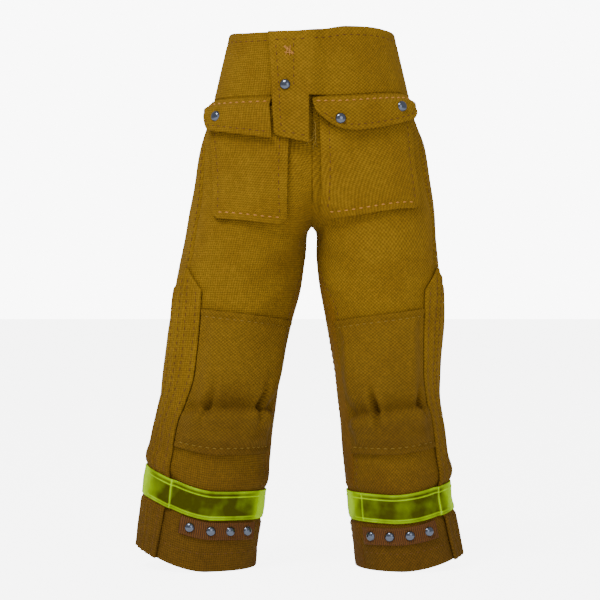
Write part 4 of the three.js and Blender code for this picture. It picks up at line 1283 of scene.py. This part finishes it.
def shade_band(obj, leg, embossed):
    """Painted light and shade of the band: full on the embossed lines, a painted highlight where
    edges catch light; high near its long edges and where it bends round the leg's sides, a painted
    reflection at grazing angles; and low across the front, a painted shade."""
    uv = np.empty(2 * len(obj.data.loops), np.float32)
    obj.data.uv_layers["Cloth"].data.foreach_get("uv", uv)
    corner = np.empty(len(obj.data.loops), np.int32)
    obj.data.loops.foreach_get("vertex_index", corner)
    place = np.zeros((len(obj.data.vertices), 2))
    place[corner] = uv.reshape(-1, 2)
    angle, height = place[:, 0] / MM / float(leg.radius(TAPE)), place[:, 1] / MM
    front = smooth(0.30, 0.75, np.sin(angle))
    up = height - band_low(leg, angle)
    border = np.minimum(up, BAND_WIDTH - up)
    value = lerp(1.0, 0.02, front)
    value = np.maximum(value, 0.6 * (1 - smooth(0.5, 1.0, border)))
    value = np.maximum(value, embossed(angle, height))
    obj.data.attributes.new("shade", "FLOAT", "POINT").data.foreach_set(
        "value", value.astype(np.float32))


def stud_ribbon(leg):
    """One ribbon, a row of stitches inside each long edge, and its studs."""
    angle_at, middle, reach = ribbon_place(leg)
    start = angle_at(0)
    edges = tuple(lambda h, a=angle_at(share): np.full(np.shape(h), a) for share in (0, 1))

    def relief(angle, height):
        share = (angle - start) / (2 * reach)
        border = RIBBON_WIDTH / 2 - np.abs(height - middle(share))
        side = np.minimum(share, 1 - share) * STUDS * STUD_PITCH
        return LAYER + RIBBON_THICKNESS + 0.12 * bell(np.minimum(border, side), 0.4, 0.35)

    def line(distance):
        return lambda share: middle(share) + distance

    obj = cloth(f"{leg.name}_stud_ribbon_grosgrain", leg, edges,
                (line(-RIBBON_WIDTH / 2), line(RIBBON_WIDTH / 2)), relief, RIBBON_THICKNESS,
                step=0.4)
    finish_piece(obj, grosgrain(), (f"{leg.name}_stud_ribbon",))
    rows = [level_row(leg, edges, line(side * (RIBBON_WIDTH / 2 - 0.7)), relief, 0.02, 0.98)
            for side in (-1, 1)]
    sew(f"{leg.name}_ribbon_stitches", rows, fine_thread(), scale=0.7)
    washer = -LAYER - RIBBON_THICKNESS - CLOTH - SEAT_GAP
    profile = [(0, washer - 0.3), (WASHER_RADIUS, washer - 0.3), (WASHER_RADIUS, washer),
               (POST_RADIUS, washer)] + dome(STUD_RADIUS, STUD_DOME)
    for i in range(STUDS):
        share = (i + 0.5) / STUDS
        place, normal = frames(leg, np.array([angle_at(share)]), np.array([middle(share)]), relief)
        stud = lathe(f"{leg.name}_ribbon_stud_{i + 1}_dome", profile, place[0], normal[0])
        finish_piece(stud, nickel(), (f"{leg.name}_ribbon_stud_{i + 1}",))


class PANTS_OT_ribbons(bpy.types.Operator):
    """The grosgrain ribbon under each band, with its four domed studs."""
    bl_idname = "pants.ribbons"
    bl_label = "Studded ribbons"

    def execute(self, context):
        for leg in LEGS:
            stud_ribbon(leg)
        return {"FINISHED"}


def dome(radius, rise, steps=9):
    """Profile of a pressed dome: a straight wall, a rolled rim, then a quarter ellipse to the
    top."""
    turn = np.linspace(0, np.pi / 2, steps)
    cap = list(zip(radius * 0.97 * np.cos(turn[:-1]), 0.16 + (rise - 0.02) * np.sin(turn[:-1])))
    return [(POST_RADIUS, 0.0), (radius * 0.95, -0.02), (radius, 0.06), (radius, 0.14)] + cap \
        + [(0, 0.14 + rise)]


class PANTS_OT_pockets(bpy.types.Operator):
    """The two hip pockets, open at the mouth under their flaps."""
    bl_idname = "pants.pockets"
    bl_label = "Pockets"

    def execute(self, context):
        for leg in LEGS:
            edges, low, relief = pocket_edges(leg), pocket_low(leg), pocket_relief(leg)
            obj = cloth(f"{leg.name}_pocket_cloth", leg, edges, (low, at_height(POCKET_MOUTH)),
                        relief, POCKET_CLOTH, step=0.55)
            finish_piece(obj, duck(leg), (f"{leg.name}_pocket",))
            rows = [down(leg, edges[0], 2.2, POCKET_BOTTOM + 3, POCKET_MOUTH - 0.5, relief),
                    down(leg, edges[1], -2.2, POCKET_BOTTOM + 3, POCKET_MOUTH - 0.5, relief)]
            sew(f"{leg.name}_pocket_side_stitches", rows, fine_thread())
            rows = [level_row(leg, edges, at_height(POCKET_BOTTOM + 2.1), relief, 0.09, 0.91)]
            sew(f"{leg.name}_pocket_bottom_stitches", rows, heavy_thread(), scale=1.5)
        return {"FINISHED"}


def hinge_of(name, reach, along):
    """Where the cloth starts and stops bending at a hinge: reach to either side of the joint's
    place."""
    joint = next(j for j in frame["joints"] if j["name"] == name)
    place, along = np.array(joint["pos_m"]), np.array(along, float)
    return tuple(place - along * reach[0] * MM), tuple(place + along * reach[1] * MM)


class PANTS_OT_flaps(bpy.types.Operator):
    """The pocket flaps, which bend just under the yoke seam."""
    bl_idname = "pants.flaps"
    bl_label = "Pocket flaps"

    def execute(self, context):
        for leg in LEGS:
            body = f"{leg.name}_pocket_flap"
            hinge = hinge_of(f"{body}_hinge", (0.2, 2.2), (0, 0, -1))
            edges, low, relief = flap_edges(leg), flap_low(leg), flap_relief(leg)
            obj = cloth(f"{body}_cloth", leg, edges, (low, at_height(FLAP_TOP)), relief,
                        FLAP_CLOTH, step=0.5)
            finish_piece(obj, duck(leg), (body,), body, hinge)
            edge_row = level_row(leg, edges, lambda s: low(s) + 1.8, relief, 0.05, 0.95)
            sew(f"{body}_edge_stitches", [edge_row], fine_thread(), body)
            seam_row = level_row(leg, edges, at_height(FLAP_TOP - 1.5), relief, 0.02, 0.98)
            sew(f"{body}_seam_stitches", [seam_row], heavy_thread(), body, hinge, 2.1)
        return {"FINISHED"}


class PANTS_OT_waist(bpy.types.Operator):
    """The waist yoke at the right and back, the hem inside its top edge, and the shield behind the
    fly."""
    bl_idname = "pants.waist"
    bl_label = "Waist"

    def execute(self, context):
        right_edges = (lambda h: RIGHT.outseam(h) + gap(RIGHT, h, SEAM_LAP),
                       lambda h: RIGHT.at_x(SEAM_LAP, h))
        back_edges = (lambda h: -np.pi - RIGHT.outseam(h) + gap(RIGHT, h, SEAM_LAP),
                      lambda h: LEFT.outseam(h) - gap(LEFT, h, SEAM_LAP))
        inside = -CLOTH - LAYER
        facing_edges = (lambda h: -np.pi - RIGHT.at_x(SHIELD_HALF + 1, h),
                        lambda h: LEFT.at_x(SHIELD_HALF + 1, h))
        shield_edges = (lambda h: np.pi - RIGHT.at_x(SHIELD_HALF, h),
                        lambda h: LEFT.at_x(SHIELD_HALF - 1, h))
        hem = lambda leg: lambda a, h: -0.15 * bell(waist_top(leg, a) - h, WAIST_STITCHES, 0.45)
        pieces = (
            ("right_front_yoke", RIGHT, right_edges, at_height(YOKE), yoke_top(RIGHT, right_edges),
             hem(RIGHT), CLOTH, fine_duck()),
            ("back_yoke", LEFT, back_edges, at_height(YOKE), yoke_top(LEFT, back_edges),
             hem(LEFT), CLOTH, coarse_duck()),
            ("waist_facing", LEFT, facing_edges, at_height(WAIST - FACING_HEIGHT),
             yoke_top(LEFT, facing_edges, 0.4), level(inside), FACING_CLOTH, coarse_duck()),
            ("fly_shield", LEFT, shield_edges, at_height(FLY_BOTTOM_HINGE + 2),
             yoke_top(LEFT, shield_edges, 0.6), level(inside), CLOTH, fine_duck()))
        for node, leg, edges, low, high, relief, thickness, material in pieces:
            obj = cloth(f"{node}_cloth", leg, edges, (low, high), relief, thickness, step=0.8)
            finish_piece(obj, material, (node,))

        def top_row(leg, edges):
            top = yoke_top(leg, edges, WAIST_STITCHES)
            return level_row(leg, edges, top, hem(leg), 0.01, 0.99)

        rows = [top_row(RIGHT, right_edges), top_row(LEFT, back_edges),
                level_row(LEFT, back_edges, at_height(YOKE + 1.6), hem(LEFT), 0.01, 0.99)]
        sew("yoke_stitches", rows, fine_thread())
        return {"FINISHED"}


class PANTS_OT_fly(bpy.types.Operator):
    """The left yoke and the fly flap, one piece of cloth that bends at the fly, and its hook and
    loop."""
    bl_idname = "pants.fly"
    bl_label = "Fly"

    def execute(self, context):
        hinge = hinge_of("fly_flap_hinge", (1.0, 1.4), (-1, 0, 0))
        obj = fly_cloth()
        finish_piece(obj, bias_duck(), ("left_front_yoke", "fly_flap"), "fly_flap",
                     hinge)
        relief = over_fly
        left_relief = lambda a, h: fly_relief(LEFT, a, h)
        free = lambda h: RIGHT.at_x(-fly_free_x(h), h)
        fold = lambda h: RIGHT.at_x(-FLY_EDGE, h)
        side = lambda h: LEFT.outseam(h) + gap(LEFT, h, SEAM_LAP)
        near = lambda h: LEFT.at_x(FLY_EDGE, h)
        rows = [
            down(RIGHT, free, 1.9, FLY_BOTTOM_FREE + 2, 165, relief),
            level_row(RIGHT, (free, fold), lambda s: fly_low(s) + 1.8, relief, 0.18, 0.95),
            down(RIGHT, lambda h: RIGHT.at_x(5.5, h), 0, 151, 165.4, relief),
            level_row(RIGHT, (free, fold), lambda s: waist_top(RIGHT, lerp(
                free(WAIST), fold(WAIST), s)) - WAIST_STITCHES, relief, 0.12, 0.95),
            level_row(LEFT, (side, near), lambda s: waist_top(LEFT, lerp(
                side(WAIST), near(WAIST), s)) - WAIST_STITCHES, left_relief, 0.01, 0.97)]
        sew("fly_stitches", rows, fine_thread(), "fly_flap", hinge)
        edges = (lambda h: RIGHT.at_x(-fly_free_x(h) - 1.6, h),
                 lambda h: RIGHT.at_x(-fly_free_x(h) - 1.6 - FASTENER_TAPE_WIDTH, h))
        high = FASTENER_TAPE_TOP - 1.2
        ends = (at_height(high - FASTENER_TAPE_LENGTH), at_height(high))
        hook_low = FLY_STANDOFF - SEAT_GAP - TAPE_SHEET
        for node, low, body in (("fly_loop_tape", SEAT_GAP, "shell"),
                                ("fly_hook_tape", hook_low, "fly_flap")):
            obj = cloth(f"{node}_pile", RIGHT, edges, ends, level(low + TAPE_SHEET), TAPE_SHEET,
                        step=0.5)
            finish_piece(obj, hook_and_loop(), (node,), body)
        return {"FINISHED"}


def fly_cloth():
    """Left yoke and fly flap on one grid: columns from the side seam to the fold and on to the
    flap's free edge, rows from the flap's lower edge to the yoke seam and on to the waist. The
    yoke has no cloth below its seam, so those faces are left out, and the rim follows what is
    left."""
    side = lambda h: LEFT.outseam(h) + gap(LEFT, h, SEAM_LAP)
    fold = lambda h: LEFT.at_x(FLY_EDGE, h)
    free = lambda h: LEFT.at_x(fly_free_x(h), h)
    first, second = steps(28, 0.7), steps(12, 0.5)
    below, above = steps(14, 0.6), steps(20, 0.7)
    column = np.concatenate([first, 1 + second[1:]])
    row = np.concatenate([below, 1 + above[1:]])
    s, t = np.meshgrid(column, row)
    on_flap = s >= 1
    free_share = np.clip(2 - s, 0, 1)
    top_angle = np.where(on_flap, lerp(fold(WAIST), free(WAIST), s - 1),
                         lerp(side(WAIST), fold(WAIST), s))
    top = np.where(top_angle > np.pi / 2, waist_top(RIGHT, np.pi - top_angle),
                   waist_top(LEFT, top_angle))
    bottom = np.where(on_flap, fly_low(free_share), FLY_BOTTOM_HINGE)
    height = np.where(t <= 1, lerp(bottom, YOKE, t), lerp(YOKE, top, t - 1))
    angle = np.where(on_flap, lerp(fold(height), free(height), s - 1),
                     lerp(side(height), fold(height), s))
    x = LEFT.centre(height) + LEFT.half(height) * np.cos(angle)
    border = np.minimum(top - height, np.where(on_flap, np.minimum(
        height - bottom, x - fly_free_x(height)), LEFT.half(height) * s))
    border = np.where(on_flap & (height < YOKE), np.minimum(border, FLY_EDGE - x), border)
    border = np.where(~on_flap, np.minimum(np.minimum(border, height - YOKE), 30 * s), border)
    corner = np.hypot(np.maximum(0, FLY_EDGE - x), np.maximum(0, height - YOKE))
    border = np.minimum(border, np.where(on_flap | (height >= YOKE), corner, 0)
                        + 9 * (x < FLY_EDGE - 1) + 9 * (height > YOKE + 1))
    raised = np.where(on_flap, fly_relief(RIGHT, np.pi - angle, height),
                      fly_relief(LEFT, angle, height))
    drop = rounded(np.maximum(border, 0), EDGE_RADIUS * CLOTH)
    on_right = x < 0

    def place(offset):
        return np.where(on_right[..., None], skin(RIGHT, np.pi - angle, height, offset),
                        skin(LEFT, angle, height, offset))
    outer, inner = place(raised - drop), place(raised - CLOTH + drop)
    kept = (s[:-1, 1:] > 1) | (t[1:, :-1] > 1)
    faces = grid_quads(*s.shape)[kept]
    points = np.concatenate([outer.reshape(-1, 3), inner.reshape(-1, 3)])
    quads = closed(faces, s.size)
    used, quads = np.unique(quads, return_inverse=True)
    quads = quads.reshape(-1, 4)
    flat = np.stack([angle * float(LEFT.radius(YOKE)), height], -1).reshape(-1, 2) * MM
    obj = mesh_object("fly_and_left_yoke_cloth", points[used], quads,
                      np.concatenate([flat, flat])[used])
    area = area_of(*(outer.reshape(-1, 3)[faces[:, i]] for i in range(4)))
    across = np.linalg.norm(np.diff(outer[-1], axis=0), axis=-1).sum()
    along = np.linalg.norm(np.diff(outer[:, -1], axis=0), axis=-1).sum()
    obj["flat"] = [float(across), float(along), float(area)]
    return obj


def closed(faces, count):
    """Outer faces, the same faces turned round on the inner grid, and a wall along every edge used
    once."""
    edges = np.concatenate([faces[:, [i, (i + 1) % 4]] for i in range(4)])
    code = np.sort(edges, 1)
    _, index, times = np.unique(code, axis=0, return_index=True, return_counts=True)
    rim = edges[index[times == 1]]
    wall = np.stack([rim[:, 1], rim[:, 0], rim[:, 0] + count, rim[:, 1] + count], -1)
    return np.concatenate([faces, faces[:, ::-1] + count, wall])


# Name, leg, distance from the middle, height, and the body of the cloth that the cap is on.
SNAPS = (("right_flap_outer_snap", RIGHT, 27.6, 142.2, "right_pocket_flap"),
         ("left_flap_inner_snap", LEFT, 8.2, 140.9, "left_pocket_flap"),
         ("left_flap_outer_snap", LEFT, 25.8, 143.4, "left_pocket_flap"),
         ("fly_snap", RIGHT, 8.1, 151.7, "fly_flap"))


def over_fly(angle, height):
    return fly_relief(RIGHT, angle, height)


class PANTS_OT_snaps(bpy.types.Operator):
    """The four snap fasteners: a domed cap and socket on the moving cloth, and a ball on the fixed
    cloth."""
    bl_idname = "pants.snaps"
    bl_label = "Snap fasteners"

    def execute(self, context):
        for name, leg, x, height, body in SNAPS:
            on_fly = body == "fly_flap"
            top, base, base_cloth = (over_fly, level(0), CLOTH) if on_fly else (
                flap_relief(leg), pocket_relief(leg), POCKET_CLOTH)
            height = np.array([height])
            angle = leg.at_x(np.array([x]), height)
            foot, axis = frames(leg, angle, height, base)
            over, _ = frames(leg, angle, height, top)
            reach = float(np.dot(over[0] - foot[0], axis[0]))
            seat = foot[0] + axis[0] * reach
            socket = -FLAP_CLOTH - SEAT_GAP
            cap = [(0, socket - 0.07), (0.72, socket - 0.07), (0.72, socket - 0.35),
                   (SOCKET_RADIUS, socket - 0.35), (SOCKET_RADIUS, socket), (POST_RADIUS, socket)]
            made = lathe(f"{name}_cap_dome", cap + dome(SNAP_RADIUS, SNAP_DOME), seat, axis[0], 40)
            finish_piece(made, nickel(), (f"{name}_cap",), body)
            washer = -base_cloth - SEAT_GAP
            turn = np.linspace(0, np.pi / 2, 6)
            ball = list(zip(0.42 * np.cos(turn[:-1]), 0.4 + 0.3 * np.sin(turn[:-1]))) + [(0, 0.7)]
            stud = [(0, washer - 0.25), (WASHER_RADIUS, washer - 0.25), (WASHER_RADIUS, washer),
                    (POST_RADIUS, washer), (POST_RADIUS, 0.15), (SOCKET_RADIUS, 0.15),
                    (SOCKET_RADIUS, 0.4), (0.6, 0.4)]
            made = lathe(f"{name}_stud_ball", stud + ball, foot[0], axis[0])
            finish_piece(made, nickel(), (f"{name}_stud",))
        return {"FINISHED"}


# The tack's threads, each from x, z to x, z about TACK, its distance from the middle and height.
TACK = 6.9, 162.6
TACK_THREADS = ((-1.6, 1.3, 1.2, -1.5), (-1.3, 1.5, 1.5, -1.2), (-1.4, -0.6, 1.4, -1.0),
                (0.4, 1.6, 0.2, -1.7), (-0.2, 1.2, -0.9, -1.4))
# The frayed ends: where each starts, how far it drops and swings, and how far it stands out.
FRAYED_ENDS = ((0.4, 141.0, 7.5, 1.0, 1.2), (0.9, 140.0, 5.0, -0.5, 1.0),
               (0.2, 138.5, 6.0, 1.6, 1.5), (0.5, 135.6, 2.6, -2.6, 1.4),
               (1.0, 136.0, 4.4, -0.6, 0.9))


class PANTS_OT_loose_threads(bpy.types.Operator):
    """The cross tack at the top of the fly, and the frayed ends under the fly flap."""
    bl_idname = "pants.loose_threads"
    bl_label = "Loose threads"

    def execute(self, context):
        share = np.linspace(0, 1, 9)
        paths = []
        for x0, z0, x1, z1 in TACK_THREADS:
            x, z = TACK[0] - lerp(x0, x1, share), TACK[1] + lerp(z0, z1, share)
            arch = 0.05 + 0.30 * np.sin(np.pi * share)
            angle = RIGHT.at_x(x, z)
            paths.append(skin(RIGHT, angle, z, over_fly(angle, z) + arch))
        tack = strands("fly_cross_tack", paths, 0.15 * MM)
        finish_piece(tack, heavy_thread(), body="fly_flap")
        paths = []
        for x0, z0, drop, swing, lift in FRAYED_ENDS:
            x = x0 + swing * share + 0.3 * np.sin(6 * share)
            z = z0 - drop * share
            out = 0.2 + lift * np.sin(np.pi * np.minimum(1, 0.1 + share))
            paths.append(skin(LEFT, LEFT.at_x(np.maximum(x, 0.1), z), z, out)
                         + np.stack([np.minimum(x, 0) * MM, 0 * x, 0 * x], -1))
        frayed = strands("crotch_frayed_threads", paths, 0.11 * MM)
        finish_piece(frayed, tan_thread())
        return {"FINISHED"}


class PANTS_OT_stage(bpy.types.Operator):
    """A pale paper floor, soft light from above and in front, and the camera."""
    bl_idname = "pants.stage"
    bl_label = "Stage"

    def execute(self, context):
        stage = props("stage")
        x, y = np.meshgrid(np.linspace(-8, 8, 17), np.linspace(-8, 8, 17))
        points = np.stack([x, y, np.full(x.shape, -0.0002)], -1).reshape(-1, 3)
        floor = mesh_object("floor", points, grid_quads(*x.shape).reshape(-1, 4), keep=True)
        floor.data.materials.append(studio_paper("matt_background_paper", linear("#F7F7F5")))
        world = bpy.data.worlds.new("white_surround")
        world.use_nodes = True
        tree = world.node_tree
        sight = add(tree, "LightPath", out="Is Camera Ray")
        glow = add(tree, "MapRange", {"Value": sight, "To Min": stage.sky, "To Max": stage.paper})
        background = tree.nodes["Background"]
        background.inputs[0].default_value = (1, 1, 1, 1)
        tree.links.new(glow, background.inputs[1])
        context.scene.world = world
        for name, place, size, power in (("key", (-0.32, -0.5, 0.88), 0.4, stage.key),
                                         ("fill", (0.35, -0.9, 0.35), 0.6, stage.fill)):
            light = bpy.data.lights.new(name, "AREA")
            light.shape, light.size, light.energy = "DISK", size, power
            lamp = bpy.data.objects.new(name, light)
            lamp.location = place
            aim = Vector((0, 0, 0.09)) - Vector(place)
            lamp.rotation_euler = aim.to_track_quat("-Z", "Y").to_euler()
            context.scene.collection.objects.link(lamp)
        lens = bpy.data.cameras.new("camera")
        lens.sensor_width, lens.lens, lens.clip_start = 36, 36 * stage.distance / 0.192, 0.01
        camera = bpy.data.objects.new("camera", lens)
        camera.location = (0.0001, -stage.distance, 0.0849)
        camera.rotation_euler = (math.pi / 2, 0, 0)
        context.scene.collection.objects.link(camera)
        context.scene.camera = camera
        return {"FINISHED"}


OPERATORS = (PANTS_OT_stage, PANTS_OT_legs, PANTS_OT_side_panels, PANTS_OT_knees, PANTS_OT_bands,
             PANTS_OT_ribbons, PANTS_OT_pockets, PANTS_OT_flaps, PANTS_OT_waist, PANTS_OT_fly,
             PANTS_OT_snaps, PANTS_OT_loose_threads)


class PANTS_PT_panel(bpy.types.Panel):
    """Sizes, colours and the buttons that make each group of pieces."""
    bl_idname = "PANTS_PT_panel"
    bl_label = "Bunker pants"
    bl_space_type = "VIEW_3D"
    bl_region_type = "UI"
    bl_category = "Pants"

    def draw(self, context):
        for name in GROUPS:
            box = self.layout.box()
            for prop in props(name).bl_rna.properties.keys():
                if prop not in ("rna_type", "name"):
                    box.prop(props(name), prop)
        for operator in OPERATORS:
            self.layout.operator(operator.bl_idname)


GROUPS = {"cloth": PantsCloth, "trim": PantsTrim, "thread": PantsThread, "stage": PantsStage}


def register():
    for group in GROUPS.values():
        bpy.utils.register_class(group)
    for name, group in GROUPS.items():
        setattr(bpy.types.Scene, f"pants_{name}", PointerProperty(type=group))
    for operator in OPERATORS:
        bpy.utils.register_class(operator)
    bpy.utils.register_class(PANTS_PT_panel)


def unregister():
    bpy.utils.unregister_class(PANTS_PT_panel)
    for operator in reversed(OPERATORS):
        bpy.utils.unregister_class(operator)
    for name in GROUPS:
        delattr(bpy.types.Scene, f"pants_{name}")
    for group in GROUPS.values():
        bpy.utils.unregister_class(group)


def main():
    register()
    for operator in OPERATORS:
        group, name = operator.bl_idname.split(".")
        getattr(getattr(bpy.ops, group), name)()


if __name__ == "__main__":
    main()
